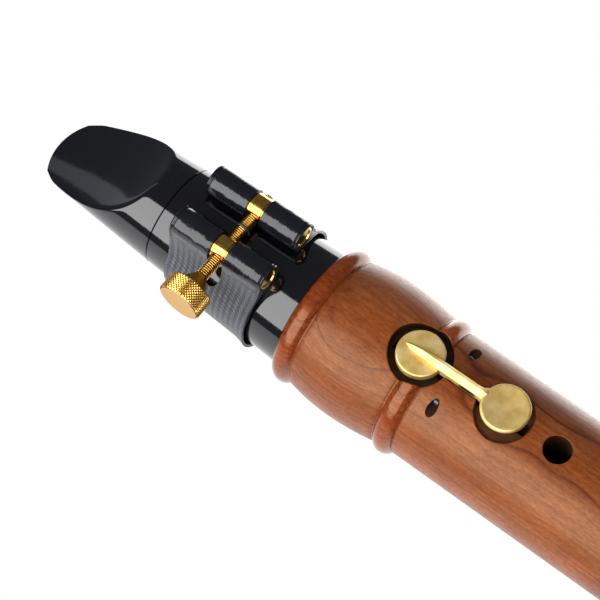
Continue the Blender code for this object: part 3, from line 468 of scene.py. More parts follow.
def section(height):
    """One level's outline: the round shank trimmed by beak, table and tip, with eased edges."""
    back = table_at(height) if height > 0.0063 else 0.03
    front = beak_at(height)
    radius = shank(height)
    if abs(height - LINE_HEIGHT) < 0.0001:
        radius -= 0.0003
    middle = (max(front, -radius) + min(back, radius)) / 2
    angles = np.linspace(0.0, 2 * math.pi, 1441)[:-1]
    across, along = np.sin(angles), -np.cos(angles)
    half = middle * along
    reach = [-half + np.sqrt(half ** 2 - middle ** 2 + radius ** 2)]
    with np.errstate(divide="ignore", invalid="ignore"):
        crowned = np.sqrt(along ** 2 + 4 * CROWN * across ** 2 * (middle - front))
        slope = np.where(along < -1e-6, 2 * (middle - front) / (crowned - along), 1.0)
        flat = np.where(along > 1e-6, (back - middle) / along, 1.0)
        sides = tip_half_width(height) / np.maximum(np.abs(across), 1e-6)
    reach += [np.maximum(slope, 1e-6), np.maximum(flat, 1e-6), sides]
    power = float(np.interp(height, (0.0390, 0.0430, 0.0480, 0.0580), (70.0, 30.0, 30.0, 70.0)))
    smallest = np.minimum.reduce(reach)
    total = sum((smallest / r) ** power for r in reach)
    distance = smallest * total ** (-1 / power)
    x, y = distance * across, middle + distance * along
    steps = np.hypot(np.diff(np.append(x, x[0])), np.diff(np.append(y, y[0])))
    walked = np.concatenate([[0.0], np.cumsum(steps)])
    wanted = np.linspace(0.0, walked[-1], AROUND + 1)[:-1]
    return [(a, b, RIM + height) for a, b in zip(
        np.interp(wanted, walked, np.append(x, x[0])), np.interp(wanted, walked, np.append(y, y[0])))]


def dents(tree, shader, scale, detail, strength, depth):
    """Give a finish a soft relief, and return the position that it follows."""
    place = node(tree, "TexCoord").outputs["Object"]
    relief = node(tree, "TexNoise", {"Vector": place, "Scale": scale, "Detail": detail})
    wire(shader, {"Normal": node(tree, "Bump", {"Height": relief, "Strength": strength, "Distance": depth})})
    return place


# Deep black with sharp reflections, which a thin film of dust softens here and there.
rubber, tree, shader = new_finish("buffed_hard_rubber", "#08080C", 0.07)
place = dents(tree, shader, 160.0, 1.0, 0.12, 0.0001)
dust = node(tree, "TexNoise", {"Vector": place, "Scale": 2400.0, "Detail": 2.0})
film = node(tree, "MapRange", {0: dust, 1: 0.45, 2: 0.75, 3: 0.05, 4: 0.16})
wire(shader, {"IOR": 1.63, "Roughness": film})
heights = list(np.linspace(0.0003, 0.0362, 26)) + [LINE_HEIGHT - 0.0002, LINE_HEIGHT, LINE_HEIGHT + 0.0002]
heights += [0.0062, 0.0064, 0.0370, 0.0378]
heights += list(np.linspace(0.0390, 0.0722, 118)) + [HEIGHT - 0.0028 * (1 - k / 30) ** 2 for k in range(30)]
heights = sorted(heights) + [HEIGHT - 0.000002]
verts = [point for height in heights for point in section(height)]
mouthpiece = make_piece("beaked_mouthpiece", verts, ring_faces(len(heights), AROUND), [rubber], 50.0)
low, high = RIM - 0.01, RIM + CHAMBER_TOP
bore = [(0.0, low), (CHAMBER_RADIUS, low), (CHAMBER_RADIUS, high), (0.0, high)]
throat = [(-0.0045, 0.0215), (0.0045, 0.0215), (0.0045, 0.0430), (0.0180, 0.0430), (0.0180, 0.0690)]
throat += [(y + 0.0016, h) for y, h in beak_line[::-6] if y > -0.0036 and h < 0.0725]
throat += [(-0.0045, 0.0440)]
verts = [(x, y, RIM + h) for x in (-0.0047, 0.0047) for y, h in throat]
chamber = make_piece("tone_chamber", verts, ring_faces(2, len(throat)), [rubber])
cut_away(mouthpiece, [turn("mouthpiece_bore", bore, [rubber], 96), chamber], 50.0)
tenon_outline = [(TENON_RADIUS, RIM + 0.0004)] + [(radius, RIM - distance) for radius, distance in tenon[1:]]
tenon_outline += [(CHAMBER_RADIUS, RIM - TENON_LENGTH), (CHAMBER_RADIUS, RIM + 0.0004)]
tenon_piece = turn("mouthpiece_tenon", tenon_outline, [rubber], 128)
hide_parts("mouthpiece")
for piece in (mouthpiece, tenon_piece):
    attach(piece, "mouthpiece")

# The reed is split from a stem of cane: its back keeps the glossy bark, and the blade is shaved
# to a feather edge at the tip. Dark vessels about 0.3 mm wide run the whole way along it.
BUTT = 0.0075
REED_LENGTH = 0.0670
BARK_LENGTH = 0.0320
cane, tree, shader = new_finish("shaved_cane", "#D8B878", 0.5)
place = node(tree, "TexCoord").outputs["Object"]
along = node(tree, "Mapping", {"Vector": place, "Scale": (3800, 3800, 60)})
vessel = node(tree, "TexNoise", {"Vector": along, "Scale": 1.0, "Detail": 2.0})
blade = node(tree, "ValToRGB", {0: vessel}, ((0.3, "#A98448"), (0.5, "#D6B676"), (0.7, "#E6CD94")))
skin_way = node(tree, "Mapping", {"Vector": place, "Scale": (500, 500, 120)})
blotch = node(tree, "TexNoise", {"Vector": skin_way, "Scale": 1.0, "Detail": 5.0})
skin = node(tree, "ValToRGB", {0: blotch}, ((0.36, "#7A4E1E"), (0.47, "#C99A45"), (0.7, "#DDB765")))
bark = node(tree, "Attribute", attribute_name="bark").outputs["Fac"]
color = node(tree, "Mix", {0: bark, 6: blade, 7: skin}, data_type="RGBA").outputs[2]
gloss = node(tree, "MapRange", {0: bark, 3: 0.6, 4: 0.25})
ridge = node(tree, "Bump", {"Height": vessel, "Strength": 0.3, "Distance": 0.00005})
wire(shader, {"Base Color": color, "Roughness": gloss, "Normal": ridge})
verts = []
barks = []
columns = 33
stations = [REED_LENGTH * i / 90 for i in range(91)]
on_table = Matrix.Translation((0.0, table_at(BUTT) + 0.0002, RIM + BUTT))
lean = on_table @ Matrix.Rotation(math.atan(TABLE_SLOPE), 4, "X")
for station in stations:
    narrow = 1.0
    if station > REED_LENGTH - 0.0015:
        narrow = math.sqrt(max(1 - ((station - REED_LENGTH + 0.0015) / 0.0016) ** 2, 0.0)) * 0.3 + 0.7
    half = (0.0116 + 0.0010 * station / REED_LENGTH) / 2 * narrow
    ring = []
    for i in range(columns):
        x = half * (1 - 2 * i / (columns - 1))
        side = x / half
        back = 0.0029 * (1 - 0.5 * side ** 2)
        share = max((station - BARK_LENGTH - 0.004 * side ** 2) / (REED_LENGTH - BARK_LENGTH), 0.0)
        cut = 0.0003 + 0.0027 * max(1 - share, 0.0) ** 1.3 * (1 - 0.3 * side ** 2)
        high = min(back, cut) if share > 0 else back
        ring.append((x, high, station))
        barks.append(1.0 if share <= 0 or back <= cut else 0.0)
    ring += [(-half * (1 - 2 * i / 8), 0.0, station) for i in range(9)]
    barks += [0.0] * 9
    verts += [lean @ Vector(point) for point in ring]
reed = make_piece("cane_reed", verts, ring_faces(len(stations), columns + 9), [cane])
layer = reed.data.attributes.new("bark", "FLOAT", "POINT")
layer.data.foreach_set("value", barks)
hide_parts("reed")
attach(reed, "mouthpiece")

# The ligature's band is a coated woven strap, lined and folded back on itself at both ends.
# Each fold is a glossy tunnel for a brass tube, and a round-ended window bares the tubes' middles.
BAND_START = 0.0086
BAND_LENGTH = 0.0236
BAND_THICK = 0.00065
BAR_X = 0.0063
BAR_RADIUS = 0.0028
TUNNEL_BORE = 0.00295
TUNNEL_RADIUS = 0.0036
TUNNEL_PROUD = 0.0008
SCREW_HEIGHT = 0.0201
WINDOW_ROUND = 0.0021
BLEND = math.radians(34.0)


def bar_forward(height):
    """How far in front of the axis the two tubes lie, from their seats on the tapered shank."""
    seats = []
    for at in (BAND_START, BAND_START + BAND_LENGTH):
        distance = shank(at) + BAND_THICK + TUNNEL_BORE
        seats.append(math.sqrt(distance ** 2 - BAR_X ** 2))
    return seats[0] + (seats[1] - seats[0]) * (height - BAND_START) / BAND_LENGTH


def bar_seat(side, height):
    """The place on a tube's axis at a height; side is -1 on the near tube, 1 on the far, 0 between."""
    return Matrix.Translation((side * BAR_X, -bar_forward(height), RIM + height))


def band_loop(height, puff=0.0):
    """Half of the band's outline at one height as (x, y, kind), from the front round to the back.

    puff swells or narrows the fold round the tube.
    """
    inner = shank(height) + 0.0002
    low = max((BAND_START + 0.0040 - height) / 0.0040, 0.0)
    flare = 0.0006 * low ** 2
    forward = bar_forward(height)
    reach = math.hypot(BAR_X, forward)
    turned = math.atan2(BAR_X, forward)
    size = TUNNEL_RADIUS + puff
    cosine = (inner ** 2 + reach ** 2 - size ** 2) / (2 * inner * reach)
    start = turned - math.acos(min(cosine, 1.0))
    blend = turned + BLEND
    inside = []
    for i in range(61):
        azimuth = start + (math.pi - start) * i / 60
        swell = flare * min(max((azimuth - turned) / (blend - turned), 0.0), 1.0)
        inside.append(((inner + swell) * math.sin(azimuth), -(inner + swell) * math.cos(azimuth), 0))
    outside = []
    for i in range(61):
        azimuth = math.pi + (blend - math.pi) * i / 60
        far = inner + BAND_THICK + flare
        outside.append((far * math.sin(azimuth), -far * math.cos(azimuth), 1))
    leave = math.radians(72.0)
    tunnel = []
    end_angle = math.atan2(inside[0][0] - BAR_X, -(inside[0][1] + forward)) - turned
    for i in range(40):
        direction = turned + leave + (end_angle - leave) * i / 40
        tunnel.append((BAR_X + size * math.sin(direction), -forward - size * math.cos(direction), 2))
    first, last = outside[-1], tunnel[0]
    for i in range(1, 6):
        share = i / 6
        x, y = first[0] + (last[0] - first[0]) * share, first[1] + (last[1] - first[1]) * share
        pull = 1 - 0.03 * math.sin(math.pi * share)
        outside.append((x * pull, y * pull, 1))
    return inside, outside + tunnel


# The weave's rows are 1.5 mm high, with rounded grey threads 1.05 mm apart on the dark coating.
woven, tree, shader = new_finish("coated_weave", "#2E3036", 0.42)
cloth = node(tree, "UVMap", uv_map="cloth")
across = node(tree, "SeparateXYZ", {0: cloth})
row = node(tree, "Math", {0: across.outputs[1], 1: 1 / 1.5}, operation="MULTIPLY")
odd = node(tree, "Math", {0: row}, operation="FLOOR")
odd = node(tree, "Math", {0: odd, 1: 0.5}, operation="MULTIPLY")
column = node(tree, "Math", {0: across, 1: 1 / 1.05, 2: odd}, operation="MULTIPLY_ADD")
in_row = node(tree, "Math", {0: row}, operation="FRACT")
in_column = node(tree, "Math", {0: column}, operation="FRACT")
y_part = node(tree, "Math", {0: in_row, 1: 0.5}, operation="SUBTRACT")
x_part = node(tree, "Math", {0: in_column, 1: 0.5}, operation="SUBTRACT")
spot = node(tree, "CombineXYZ", {0: x_part, 1: y_part})
spot = node(tree, "VectorMath", {0: spot}, operation="LENGTH").outputs["Value"]
thread = node(tree, "MapRange", {0: spot, 1: 0.46, 2: 0.16}, interpolation_type="SMOOTHSTEP")
wear = node(tree, "TexNoise", {"Vector": cloth, "Scale": 0.9, "Detail": 3.0})
thread = node(tree, "Math", {0: thread, 1: wear}, operation="MULTIPLY")
tint = node(tree, "ValToRGB", {0: thread}, ((0.05, "#2A2B31"), (0.3, "#3D3F46"), (0.7, "#5C5E66")))
raised = node(tree, "Bump", {"Height": thread, "Strength": 0.7, "Distance": 0.00012})
wire(shader, {"Base Color": tint, "Normal": raised})
# The fold is smooth and tight over its tube, with sharp wavering reflections, and its cut edge dull.
glossy, tree, shader = new_finish("smooth_coated_fold", "#101116", 0.16)
dents(tree, shader, 430.0, 2.0, 0.8, 0.00024)
cut_edge, tree, shader = new_finish("cut_strap_edge", "#15161A", 0.45)
dents(tree, shader, 1500.0, 3.0, 0.5, 0.00008)
near_ends = (0.0, 0.00015, 0.0003, 0.00045, 0.0006, 0.00072, 0.00085, 0.0010, 0.0012, 0.0015)
hem = (-0.00020, -0.00005, 0.00002, -0.00004, -0.00018, -0.00024, -0.00014, -0.00003, 0.0, 0.0)
levels = [BAND_START + reach for reach in near_ends]
levels += [BAND_START + 0.0015 + (BAND_LENGTH - 0.0030) * i / 26 for i in range(1, 26)]
levels += [BAND_START + BAND_LENGTH - reach for reach in near_ends[::-1]]
verts = []
cloth_at = []
for level in levels:
    near_end = min(level - BAND_START, BAND_START + BAND_LENGTH - level)
    inside, outside = band_loop(level, float(np.interp(near_end, near_ends, hem)))
    stretch = TUNNEL_PROUD * (2 * (level - BAND_START) / BAND_LENGTH - 1)
    blend_end = math.atan2(BAR_X, bar_forward(level)) + BLEND
    half = inside + outside[1:]
    seam = len(inside) - 1
    right = [(x, y) for x, y, kind in half]
    left = [(-x, y) for x, y, kind in half]
    back = (0.0, outside[0][1])
    loop = left[:seam + 1] + right[:seam][::-1] + right[seam + 1:][::-1] + [back] + left[seam + 1:]
    outer_kinds = [kind for x, y, kind in outside[1:]]
    kinds = [0] * (2 * seam + 1) + outer_kinds[::-1] + [1] + outer_kinds
    walked = 0.0
    for i, (x, y) in enumerate(loop):
        walked += math.hypot(x - loop[i - 1][0], y - loop[i - 1][1]) * 1000 if i else 0.0
        cloth_at.append((walked, (level - BAND_START) * 1000))
        share = 1.5 * (blend_end - math.atan2(abs(x), -y)) / BLEND
        verts.append((x, y, RIM + level + stretch * min(max(share, 0.0), 1.0)))
woven_side = [0 if kind == 1 and after == 1 else 1 for kind, after in zip(kinds, kinds[1:] + kinds[:1])]
slots = [2, 2] + woven_side * (len(levels) - 1)
faces = ring_faces(len(levels), len(kinds))
band = make_piece("strap_band", verts, faces, [woven, glossy, cut_edge], 40.0, slots)
band.data.uv_layers.new(name="cloth")
for polygon in band.data.polygons:
    for corner in polygon.loop_indices:
        point = band.data.loops[corner].vertex_index
        band.data.uv_layers["cloth"].data[corner].uv = cloth_at[point]
taper = bar_forward(BAND_START) - bar_forward(BAND_START + BAND_LENGTH)
bar_lean = Matrix.Rotation(-math.atan2(taper, BAND_LENGTH), 4, "X")
tunnel = [(0.0, -0.02), (TUNNEL_BORE, -0.02), (TUNNEL_BORE, 0.02), (0.0, 0.02)]
cutters = []
for side in (-1, 1):
    seat = bar_seat(side, SCREW_HEIGHT) @ bar_lean
    cutters.append(turn(f"tunnel_{side}", tunnel, [cut_edge], 64, place=seat))
window = []
for side in (1, -1):
    for i in range(17):
        angle = math.pi * (i / 16 - 0.5)
        out = shank(SCREW_HEIGHT) * 0.90 - WINDOW_ROUND * (1 - math.cos(angle))
        window.append((side * out, RIM + SCREW_HEIGHT + side * WINDOW_ROUND * math.sin(angle)))
verts = [(x, y, z) for y in (-0.0068, -0.024) for x, z in window]
cutters.append(make_piece("band_window", verts, ring_faces(2, len(window)), [cut_edge]))
cut_away(band, cutters, 40.0)
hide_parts("ligature_band")
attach(band, "ligature")

# Two drawn brass tubes lie in the folds, each with a turned collar where the screw goes through.
# They are polished and lacquered a deep yellow gold.
gold, tree, shader = new_finish("lacquered_yellow_brass", "#E2AC46", 0.14, 1.0)
place = node(tree, "TexCoord").outputs["Object"]
smear = node(tree, "TexNoise", {"Vector": place, "Scale": 700.0, "Detail": 3.0})
polish = node(tree, "MapRange", {0: smear, 1: 0.3, 2: 0.7, 3: 0.10, 4: 0.22})
tarnish = node(tree, "ValToRGB", {0: smear}, ((0.35, "#D69C34"), (0.6, "#E8B652")))
wire(shader, {"Coat Weight": 0.6, "Coat Roughness": 0.08, "Roughness": polish, "Base Color": tarnish})
middle = SCREW_HEIGHT - BAND_START - BAND_LENGTH / 2
half = BAND_LENGTH / 2 + TUNNEL_PROUD - 0.0002
tube_outline = [(0.0026, -half), (BAR_RADIUS, -half + 0.0002), (BAR_RADIUS, middle - 0.0018)]
tube_outline += [(0.0030, middle - 0.0018), (0.0031, middle - 0.0017), (0.0031, middle + 0.0017)]
tube_outline += [(0.0030, middle + 0.0018), (BAR_RADIUS, middle + 0.0018), (BAR_RADIUS, half - 0.0002)]
tube_outline += [(0.0026, half), (0.0022, half), (0.0021, half - 0.00025), (0.0, half - 0.00025)]
tube_outline += [(0.0, -half + 0.00025), (0.0021, -half + 0.00025), (0.0022, -half)]
drilled = [(0.0, -0.006), (0.00168, -0.006), (0.00168, 0.006), (0.0, 0.006)]
for side, name in ((-1, "near"), (1, "far")):
    seat = bar_seat(side, BAND_START + BAND_LENGTH / 2) @ bar_lean
    tube = turn(f"tube_{name}", tube_outline, [gold], 96, place=seat)
    sideways = bar_seat(side, SCREW_HEIGHT) @ Matrix.Rotation(math.pi / 2, 4, "Y")
    cut_away(tube, [turn("drill", drilled, [gold], 48, place=sideways)])
    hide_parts(f"ligature_bar_{name}")
    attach(tube, "ligature")

# The ligature's screw is turned from brass, with a rolled M3 thread of 0.5 mm pitch along its shank.
# A hollow cone leads to a head with a diamond knurl, pressed in by two crossed wheels.
PITCH = 0.0005
HEAD_START = 0.0176
HEAD_LENGTH = 0.0048
HEAD_RADIUS = 0.0053
CORE_RADIUS = 0.00127
CONE_START = 0.0144
axle = bar_seat(0, SCREW_HEIGHT) @ Matrix.Rotation(-math.pi / 2, 4, "Y")


def run_tree(tree, name, values):
    """Run a node tree on an empty mesh, with its named inputs set, and keep the plain mesh."""
    mesh = bpy.data.meshes.new(name)
    piece = bpy.data.objects.new(name, mesh)
    bpy.context.scene.collection.objects.link(piece)
    modifier = piece.modifiers.new(name, "NODES")
    modifier.node_group = tree
    for item in tree.interface.items_tree:
        if item.in_out == "INPUT":
            modifier[item.identifier] = values[item.name]
    return freeze(piece)


def new_tree(name, inputs):
    """An empty geometry tree with its named inputs, then those inputs' sockets and its end node."""
    tree = bpy.data.node_groups.new(name, "GeometryNodeTree")
    tree.interface.new_socket("Geometry", in_out="OUTPUT", socket_type="NodeSocketGeometry")
    for label, kind in inputs.items():
        tree.interface.new_socket(label, in_out="INPUT", socket_type="NodeSocket" + kind)
    given = node(tree, "NodeGroupInput").outputs
    return tree, given, node(tree, "NodeGroupOutput")


tree, given, result = new_tree("rolled_thread", {"Radius": "Float", "Pitch": "Float", "Length": "Float",
                                                 "Depth": "Float", "Finish": "Material"})
turns = node(tree, "Math", {0: given["Length"], 1: given["Pitch"]}, operation="DIVIDE")
winding = {"Resolution": 24, "Rotations": turns, "Height": given["Length"]}
winding |= {"Start Radius": given["Radius"], "End Radius": given["Radius"]}
helix = node(tree, "GeometryNodeCurveSpiral", winding)
ridge = node(tree, "GeometryNodeCurvePrimitiveCircle", {"Resolution": 6, "Radius": given["Depth"]})
swept = {"Curve": helix, "Profile Curve": ridge, "Fill Caps": True}
rolled = node(tree, "GeometryNodeCurveToMesh", swept)
real = node(tree, "GeometryNodeRealizeInstances", {0: rolled})
coated = node(tree, "GeometryNodeSetMaterial", {"Geometry": real, "Material": given["Finish"]})
wire(result, {0: coated})
thread = run_tree(tree, "screw_thread", {"Radius": 0.00137, "Pitch": PITCH, "Length": 0.0238,
                                        "Depth": 0.00017, "Finish": gold})
thread.data.transform(axle @ Matrix.Translation((0.0, 0.0, -0.0093)))

tree, given, result = new_tree("diamond_knurl", {"Radius": "Float", "Length": "Float", "Around": "Int",
                                                "Rows": "Int", "Height": "Float", "Finish": "Material"})
grid = node(tree, "GeometryNodeMeshGrid", {"Vertices X": given["Around"], "Vertices Y": given["Rows"]})
index = node(tree, "GeometryNodeInputIndex")
row = node(tree, "FunctionNodeIntegerMath", {0: index, 1: given["Rows"]}, operation="MODULO")
place_round = node(tree, "FunctionNodeIntegerMath", {0: index, 1: given["Rows"]}, operation="DIVIDE")
odd = node(tree, "FunctionNodeIntegerMath", {0: row, 1: 2}, operation="MODULO")
shifted = node(tree, "Math", {0: odd, 1: 0.5, 2: place_round}, operation="MULTIPLY_ADD")
share = node(tree, "Math", {0: shifted, 1: given["Around"]}, operation="DIVIDE")
angle = node(tree, "Math", {0: share, 1: 2 * math.pi}, operation="MULTIPLY")
cosine = node(tree, "Math", {0: angle}, operation="COSINE")
sine = node(tree, "Math", {0: angle}, operation="SINE")
x_place = node(tree, "Math", {0: cosine, 1: given["Radius"]}, operation="MULTIPLY")
y_place = node(tree, "Math", {0: sine, 1: given["Radius"]}, operation="MULTIPLY")
part = node(tree, "Math", {0: row, 1: 0.5}, operation="ADD")
part = node(tree, "Math", {0: part, 1: given["Rows"]}, operation="DIVIDE")
z_place = node(tree, "Math", {0: part, 1: given["Length"]}, operation="MULTIPLY")
spot = node(tree, "CombineXYZ", {0: x_place, 1: y_place, 2: z_place})
wrapped = node(tree, "GeometryNodeSetPosition", {"Geometry": grid, "Position": spot})
outward = node(tree, "CombineXYZ", {0: cosine, 1: sine})
facing = node(tree, "FunctionNodeAlignRotationToVector", {"Vector": outward}, axis="Z")
tooth = node(tree, "GeometryNodeMeshCone", {"Vertices": 4, "Depth": given["Height"],
                                           "Radius Top": 0.00006, "Radius Bottom": 0.00046})
placing = {"Points": wrapped, "Instance": tooth, "Rotation": facing}
teeth = node(tree, "GeometryNodeInstanceOnPoints", placing)
real = node(tree, "GeometryNodeRealizeInstances", {0: teeth})
coated = node(tree, "GeometryNodeSetMaterial", {"Geometry": real, "Material": given["Finish"]})
wire(result, {0: coated})
# The teeth flash bright, the floor between them and the shank under the thread are painted dark and dull as
# painted shade, and the cone and face are satin.
cut_teeth = new_finish("pressed_brass_teeth", "#DDB464", 0.3, 1.0)[0]
knurl = run_tree(tree, "head_knurl", {"Radius": HEAD_RADIUS - 0.00030, "Length": HEAD_LENGTH - 0.0006,
                                     "Around": 44, "Rows": 11, "Height": 0.00032, "Finish": cut_teeth})
knurl.data.transform(axle @ Matrix.Translation((0.0, 0.0, HEAD_START + 0.0003)))
satin_face = new_finish("satin_turned_brass_face", "#C79F62", 0.5, 1.0)[0]
painted_shade_brass = new_finish("brass_painted_shade_in_grooves", "#6E4A14", 0.45, 1.0)[0]
cone_face = new_finish("turned_brass_cone", "#C98E34", 0.38, 1.0)[0]
profile = [(0.0, -0.0097), (0.0011, -0.0097), (CORE_RADIUS, -0.0094), (CORE_RADIUS, CONE_START - 0.0001)]
for i in range(11):
    t = i / 10
    profile.append((0.00155 + 0.00205 * t, CONE_START + (HEAD_START - CONE_START) * t))
head, head_end = HEAD_RADIUS - 0.00036, HEAD_START + HEAD_LENGTH
profile += [(0.0046, HEAD_START), (head, HEAD_START + 0.0003), (head, head_end - 0.0003)]
profile += [(0.0048, head_end), (0.0044, head_end - 0.00005), (0.0, head_end - 0.00012)]
screw = turn("knurled_screw", profile, [gold, satin_face, painted_shade_brass, cone_face], 96, place=axle)
# The head's side under the teeth and the shank under the thread take the brass that is painted dark as
# shade.
for polygon in screw.data.polygons:
    for out, finish in ((head_end - 0.0002, 1), (HEAD_START + 0.0002, 2), (CONE_START, 3), (-0.0090, 2)):
        if -polygon.center.x > out:
            polygon.material_index = finish
            break
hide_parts("ligature_screw")
for piece in (screw, thread, knurl):
    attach(piece, "screw")

# A black moulded nylon ring between the tubes keeps the screw from being lost.
# Its moulded skin is half glossy, with fine grey specks of wear.
nylon, tree, shader = new_finish("moulded_black_nylon", "#1A1B1F", 0.3)
place = node(tree, "TexCoord").outputs["Object"]
speck = node(tree, "TexNoise", {"Vector": place, "Scale": 2000.0, "Detail": 2.0})
tint = node(tree, "ValToRGB", {0: speck}, ((0.4, "#141519"), (0.7, "#33353B")))
wire(shader, {"Base Color": tint})
ring_half = [(0.00165, 0.00025), (0.0019, 0.00025), (0.00205, 0.0001)]
ring_outline = [(radius, -height) for radius, height in ring_half] + ring_half[::-1]
stop_ring = turn("nylon_stop_ring", ring_outline, [nylon], 64, place=axle)
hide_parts("screw_stop_ring")
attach(stop_ring, "stop_ring")

# The key is silver-soldered from sheet and bar brass, and rubbed to a satin with fine abrasive.
# A ridged arm joins the pad's cup to the finger's touch and rocks on a steel pin through a lug.
# Crossed scratches about 0.1 mm wide blur its gloss, and clouds 3 mm across vary its pale colour.
satin, tree, shader = new_finish("satin_rubbed_brass", "#F2D48C", 0.58, 1.0)
place = node(tree, "TexCoord").outputs["Object"]
one_way = node(tree, "Mapping", {"Vector": place, "Rotation": (0, 0.6, 0), "Scale": (9000, 9000, 500)})
other_way = node(tree, "Mapping", {"Vector": place, "Rotation": (0, -0.9, 0), "Scale": (7000, 7000, 600)})
scratch = node(tree, "TexNoise", {"Vector": one_way, "Scale": 1.0, "Detail": 2.0})
cross = node(tree, "TexNoise", {"Vector": other_way, "Scale": 1.0, "Detail": 2.0})
rubbed = node(tree, "Math", {0: scratch, 1: cross}, operation="ADD")
cloud = node(tree, "TexNoise", {"Vector": place, "Scale": 330.0, "Detail": 3.0})
tint = node(tree, "ValToRGB", {0: cloud}, ((0.3, "#E0BC6C"), (0.5, "#F2D286"), (0.7, "#FAE2A6")))
gloss = node(tree, "MapRange", {0: rubbed, 1: 0.7, 2: 1.3, 3: 0.52, 4: 0.66})
bump = node(tree, "Bump", {"Height": rubbed, "Strength": 0.25, "Distance": 0.00002})
wire(shader, {"Base Color": tint, "Roughness": gloss, "Normal": bump})


def on_key(depth):
    """The placement of a turned piece below the rim, facing forwards from the bore's axis."""
    return Matrix.Translation((0.0, 0.0, RIM - depth)) @ Matrix.Rotation(math.pi / 2, 4, "X")


CUP_TOP = 0.0162
CUP_EDGE = 0.00035
cup_outline = [(0.00485, 0.0142), (0.0053, 0.0142), (0.00545, 0.01435)]
for i in range(9):
    bend = math.pi / 2 * i / 8
    cup_outline.append((0.0051 + CUP_EDGE * math.cos(bend), CUP_TOP - CUP_EDGE * (1 - math.sin(bend))))
cup_outline += [(0.0, CUP_TOP), (0.0, 0.0156), (0.00485, 0.0156)]
cup = turn("key_pad_cup", spaced(cup_outline, 0.001), [satin], 128, place=on_key(PAD_DEPTH))
touch_outline = [(0.0, 0.0171), (0.0049, 0.0171)]
for i in range(9):
    bend = math.pi * (i / 8 - 0.5)
    rim_lift = 0.00016 if i > 4 else 0.0
    touch_outline.append((0.0051 + 0.0004 * math.cos(bend), 0.01772 + 0.00062 * math.sin(bend) + rim_lift))
for i in range(9):
    share = 1 - i / 8
    touch_outline.append((0.0048 * share, 0.01822 + 0.00026 * share ** 2))
touch = turn("key_touch_plate", touch_outline, [satin], 128, place=on_key(TOUCH_DEPTH))
# Each station has its depth, half width, and how far forward its underside, shoulder and ridge lie.
ridge_line = [
    (0.02430, 0.00010, 0.01625, 0.01630, 0.01634),
    (0.02470, 0.00030, 0.01625, 0.01636, 0.01660),
    (0.02550, 0.00056, 0.01625, 0.01646, 0.01712),
    (0.02680, 0.00082, 0.01625, 0.01662, 0.01762),
    (0.02850, 0.00102, 0.01625, 0.01682, 0.01800),
    (0.03070, 0.00112, 0.01625, 0.01700, 0.01820),
    (0.03390, 0.00115, 0.01625, 0.01710, 0.01830),
    (0.03400, 0.00115, 0.01500, 0.01710, 0.01830),
    (0.04300, 0.00115, 0.01500, 0.01730, 0.01845),
    (0.04390, 0.00120, 0.01570, 0.01760, 0.01860),
    (0.04440, 0.00148, 0.01610, 0.01785, 0.01868),
    (0.04475, 0.00164, 0.01640, 0.01810, 0.01874),
    (0.04505, 0.00110, 0.01700, 0.01845, 0.01878),
    (0.04540, 0.00020, 0.01800, 0.01864, 0.01872),
]
verts = []
for depth, half, base, shoulder, ridge in ridge_line:
    for x, forward in ((-half, base), (-half, shoulder), (0.0, ridge), (half, shoulder), (half, base)):
        verts.append((x, -forward, RIM - depth))
arm = make_piece("key_ridged_arm", verts, ring_faces(len(ridge_line), 5), [satin], 25.0)
ease = arm.modifiers.new("eased", "BEVEL")
ease.width = 0.00012
ease.segments = 3
ease.limit_method = "ANGLE"
ease.angle_limit = math.radians(25)
freeze(arm)
lug_outline = [(0.00115, -0.00115), (0.0022, -0.00115), (0.0022, 0.00115), (0.00115, 0.00115)]
lug = turn("key_lug", lug_outline, [satin], 64, place=across_body)
tongue = block("key_tongue", (-0.00115, -0.0169, RIM - 0.0482), (0.00115, -0.01572, RIM - 0.0390), satin)
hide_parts("key_cup")
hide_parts("key_touch")
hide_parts("key_arm")
for piece in (cup, touch, arm, lug, tongue):
    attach(piece, "key")

# Under the cup a thin skin covers a felt disc, which seals the note hole, and shows as a pale edge.
# A felt bumper glued in the touch's pocket stops the key without a click.
# The skin has wrinkles about 1 mm apart, and the felt is dark red, matt and fluffy.
BUMPER_DEPTH = 0.0529
pad_skin, tree, shader = new_finish("pad_skin", "#B79A6E", 0.6)
dents(tree, shader, 900.0, 4.0, 0.4, 0.0001)
felt, tree, shader = new_finish("pressed_felt", "#5A1F1C", 0.95)
dents(tree, shader, 2500.0, 4.0, 0.8, 0.0002)
pad_outline = [(0.0, 0.0133), (0.0042, 0.0133), (0.0046, 0.0136), (0.00465, 0.0140), (0.00465, 0.0154)]
pad_outline += [(0.0, 0.0154)]
pad = turn("key_pad_disc", pad_outline, [pad_skin], 96, place=on_key(PAD_DEPTH))
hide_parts("key_pad")
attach(pad, "key")
bumper_outline = [(0.0, 0.0136), (0.0019, 0.0136), (0.0019, 0.0142), (0.0018, 0.0143), (0.0, 0.0143)]
bumper = turn("key_felt_bumper", bumper_outline, [felt], 64, place=on_key(BUMPER_DEPTH))
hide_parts("key_bumper")
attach(bumper, "wooden_body")

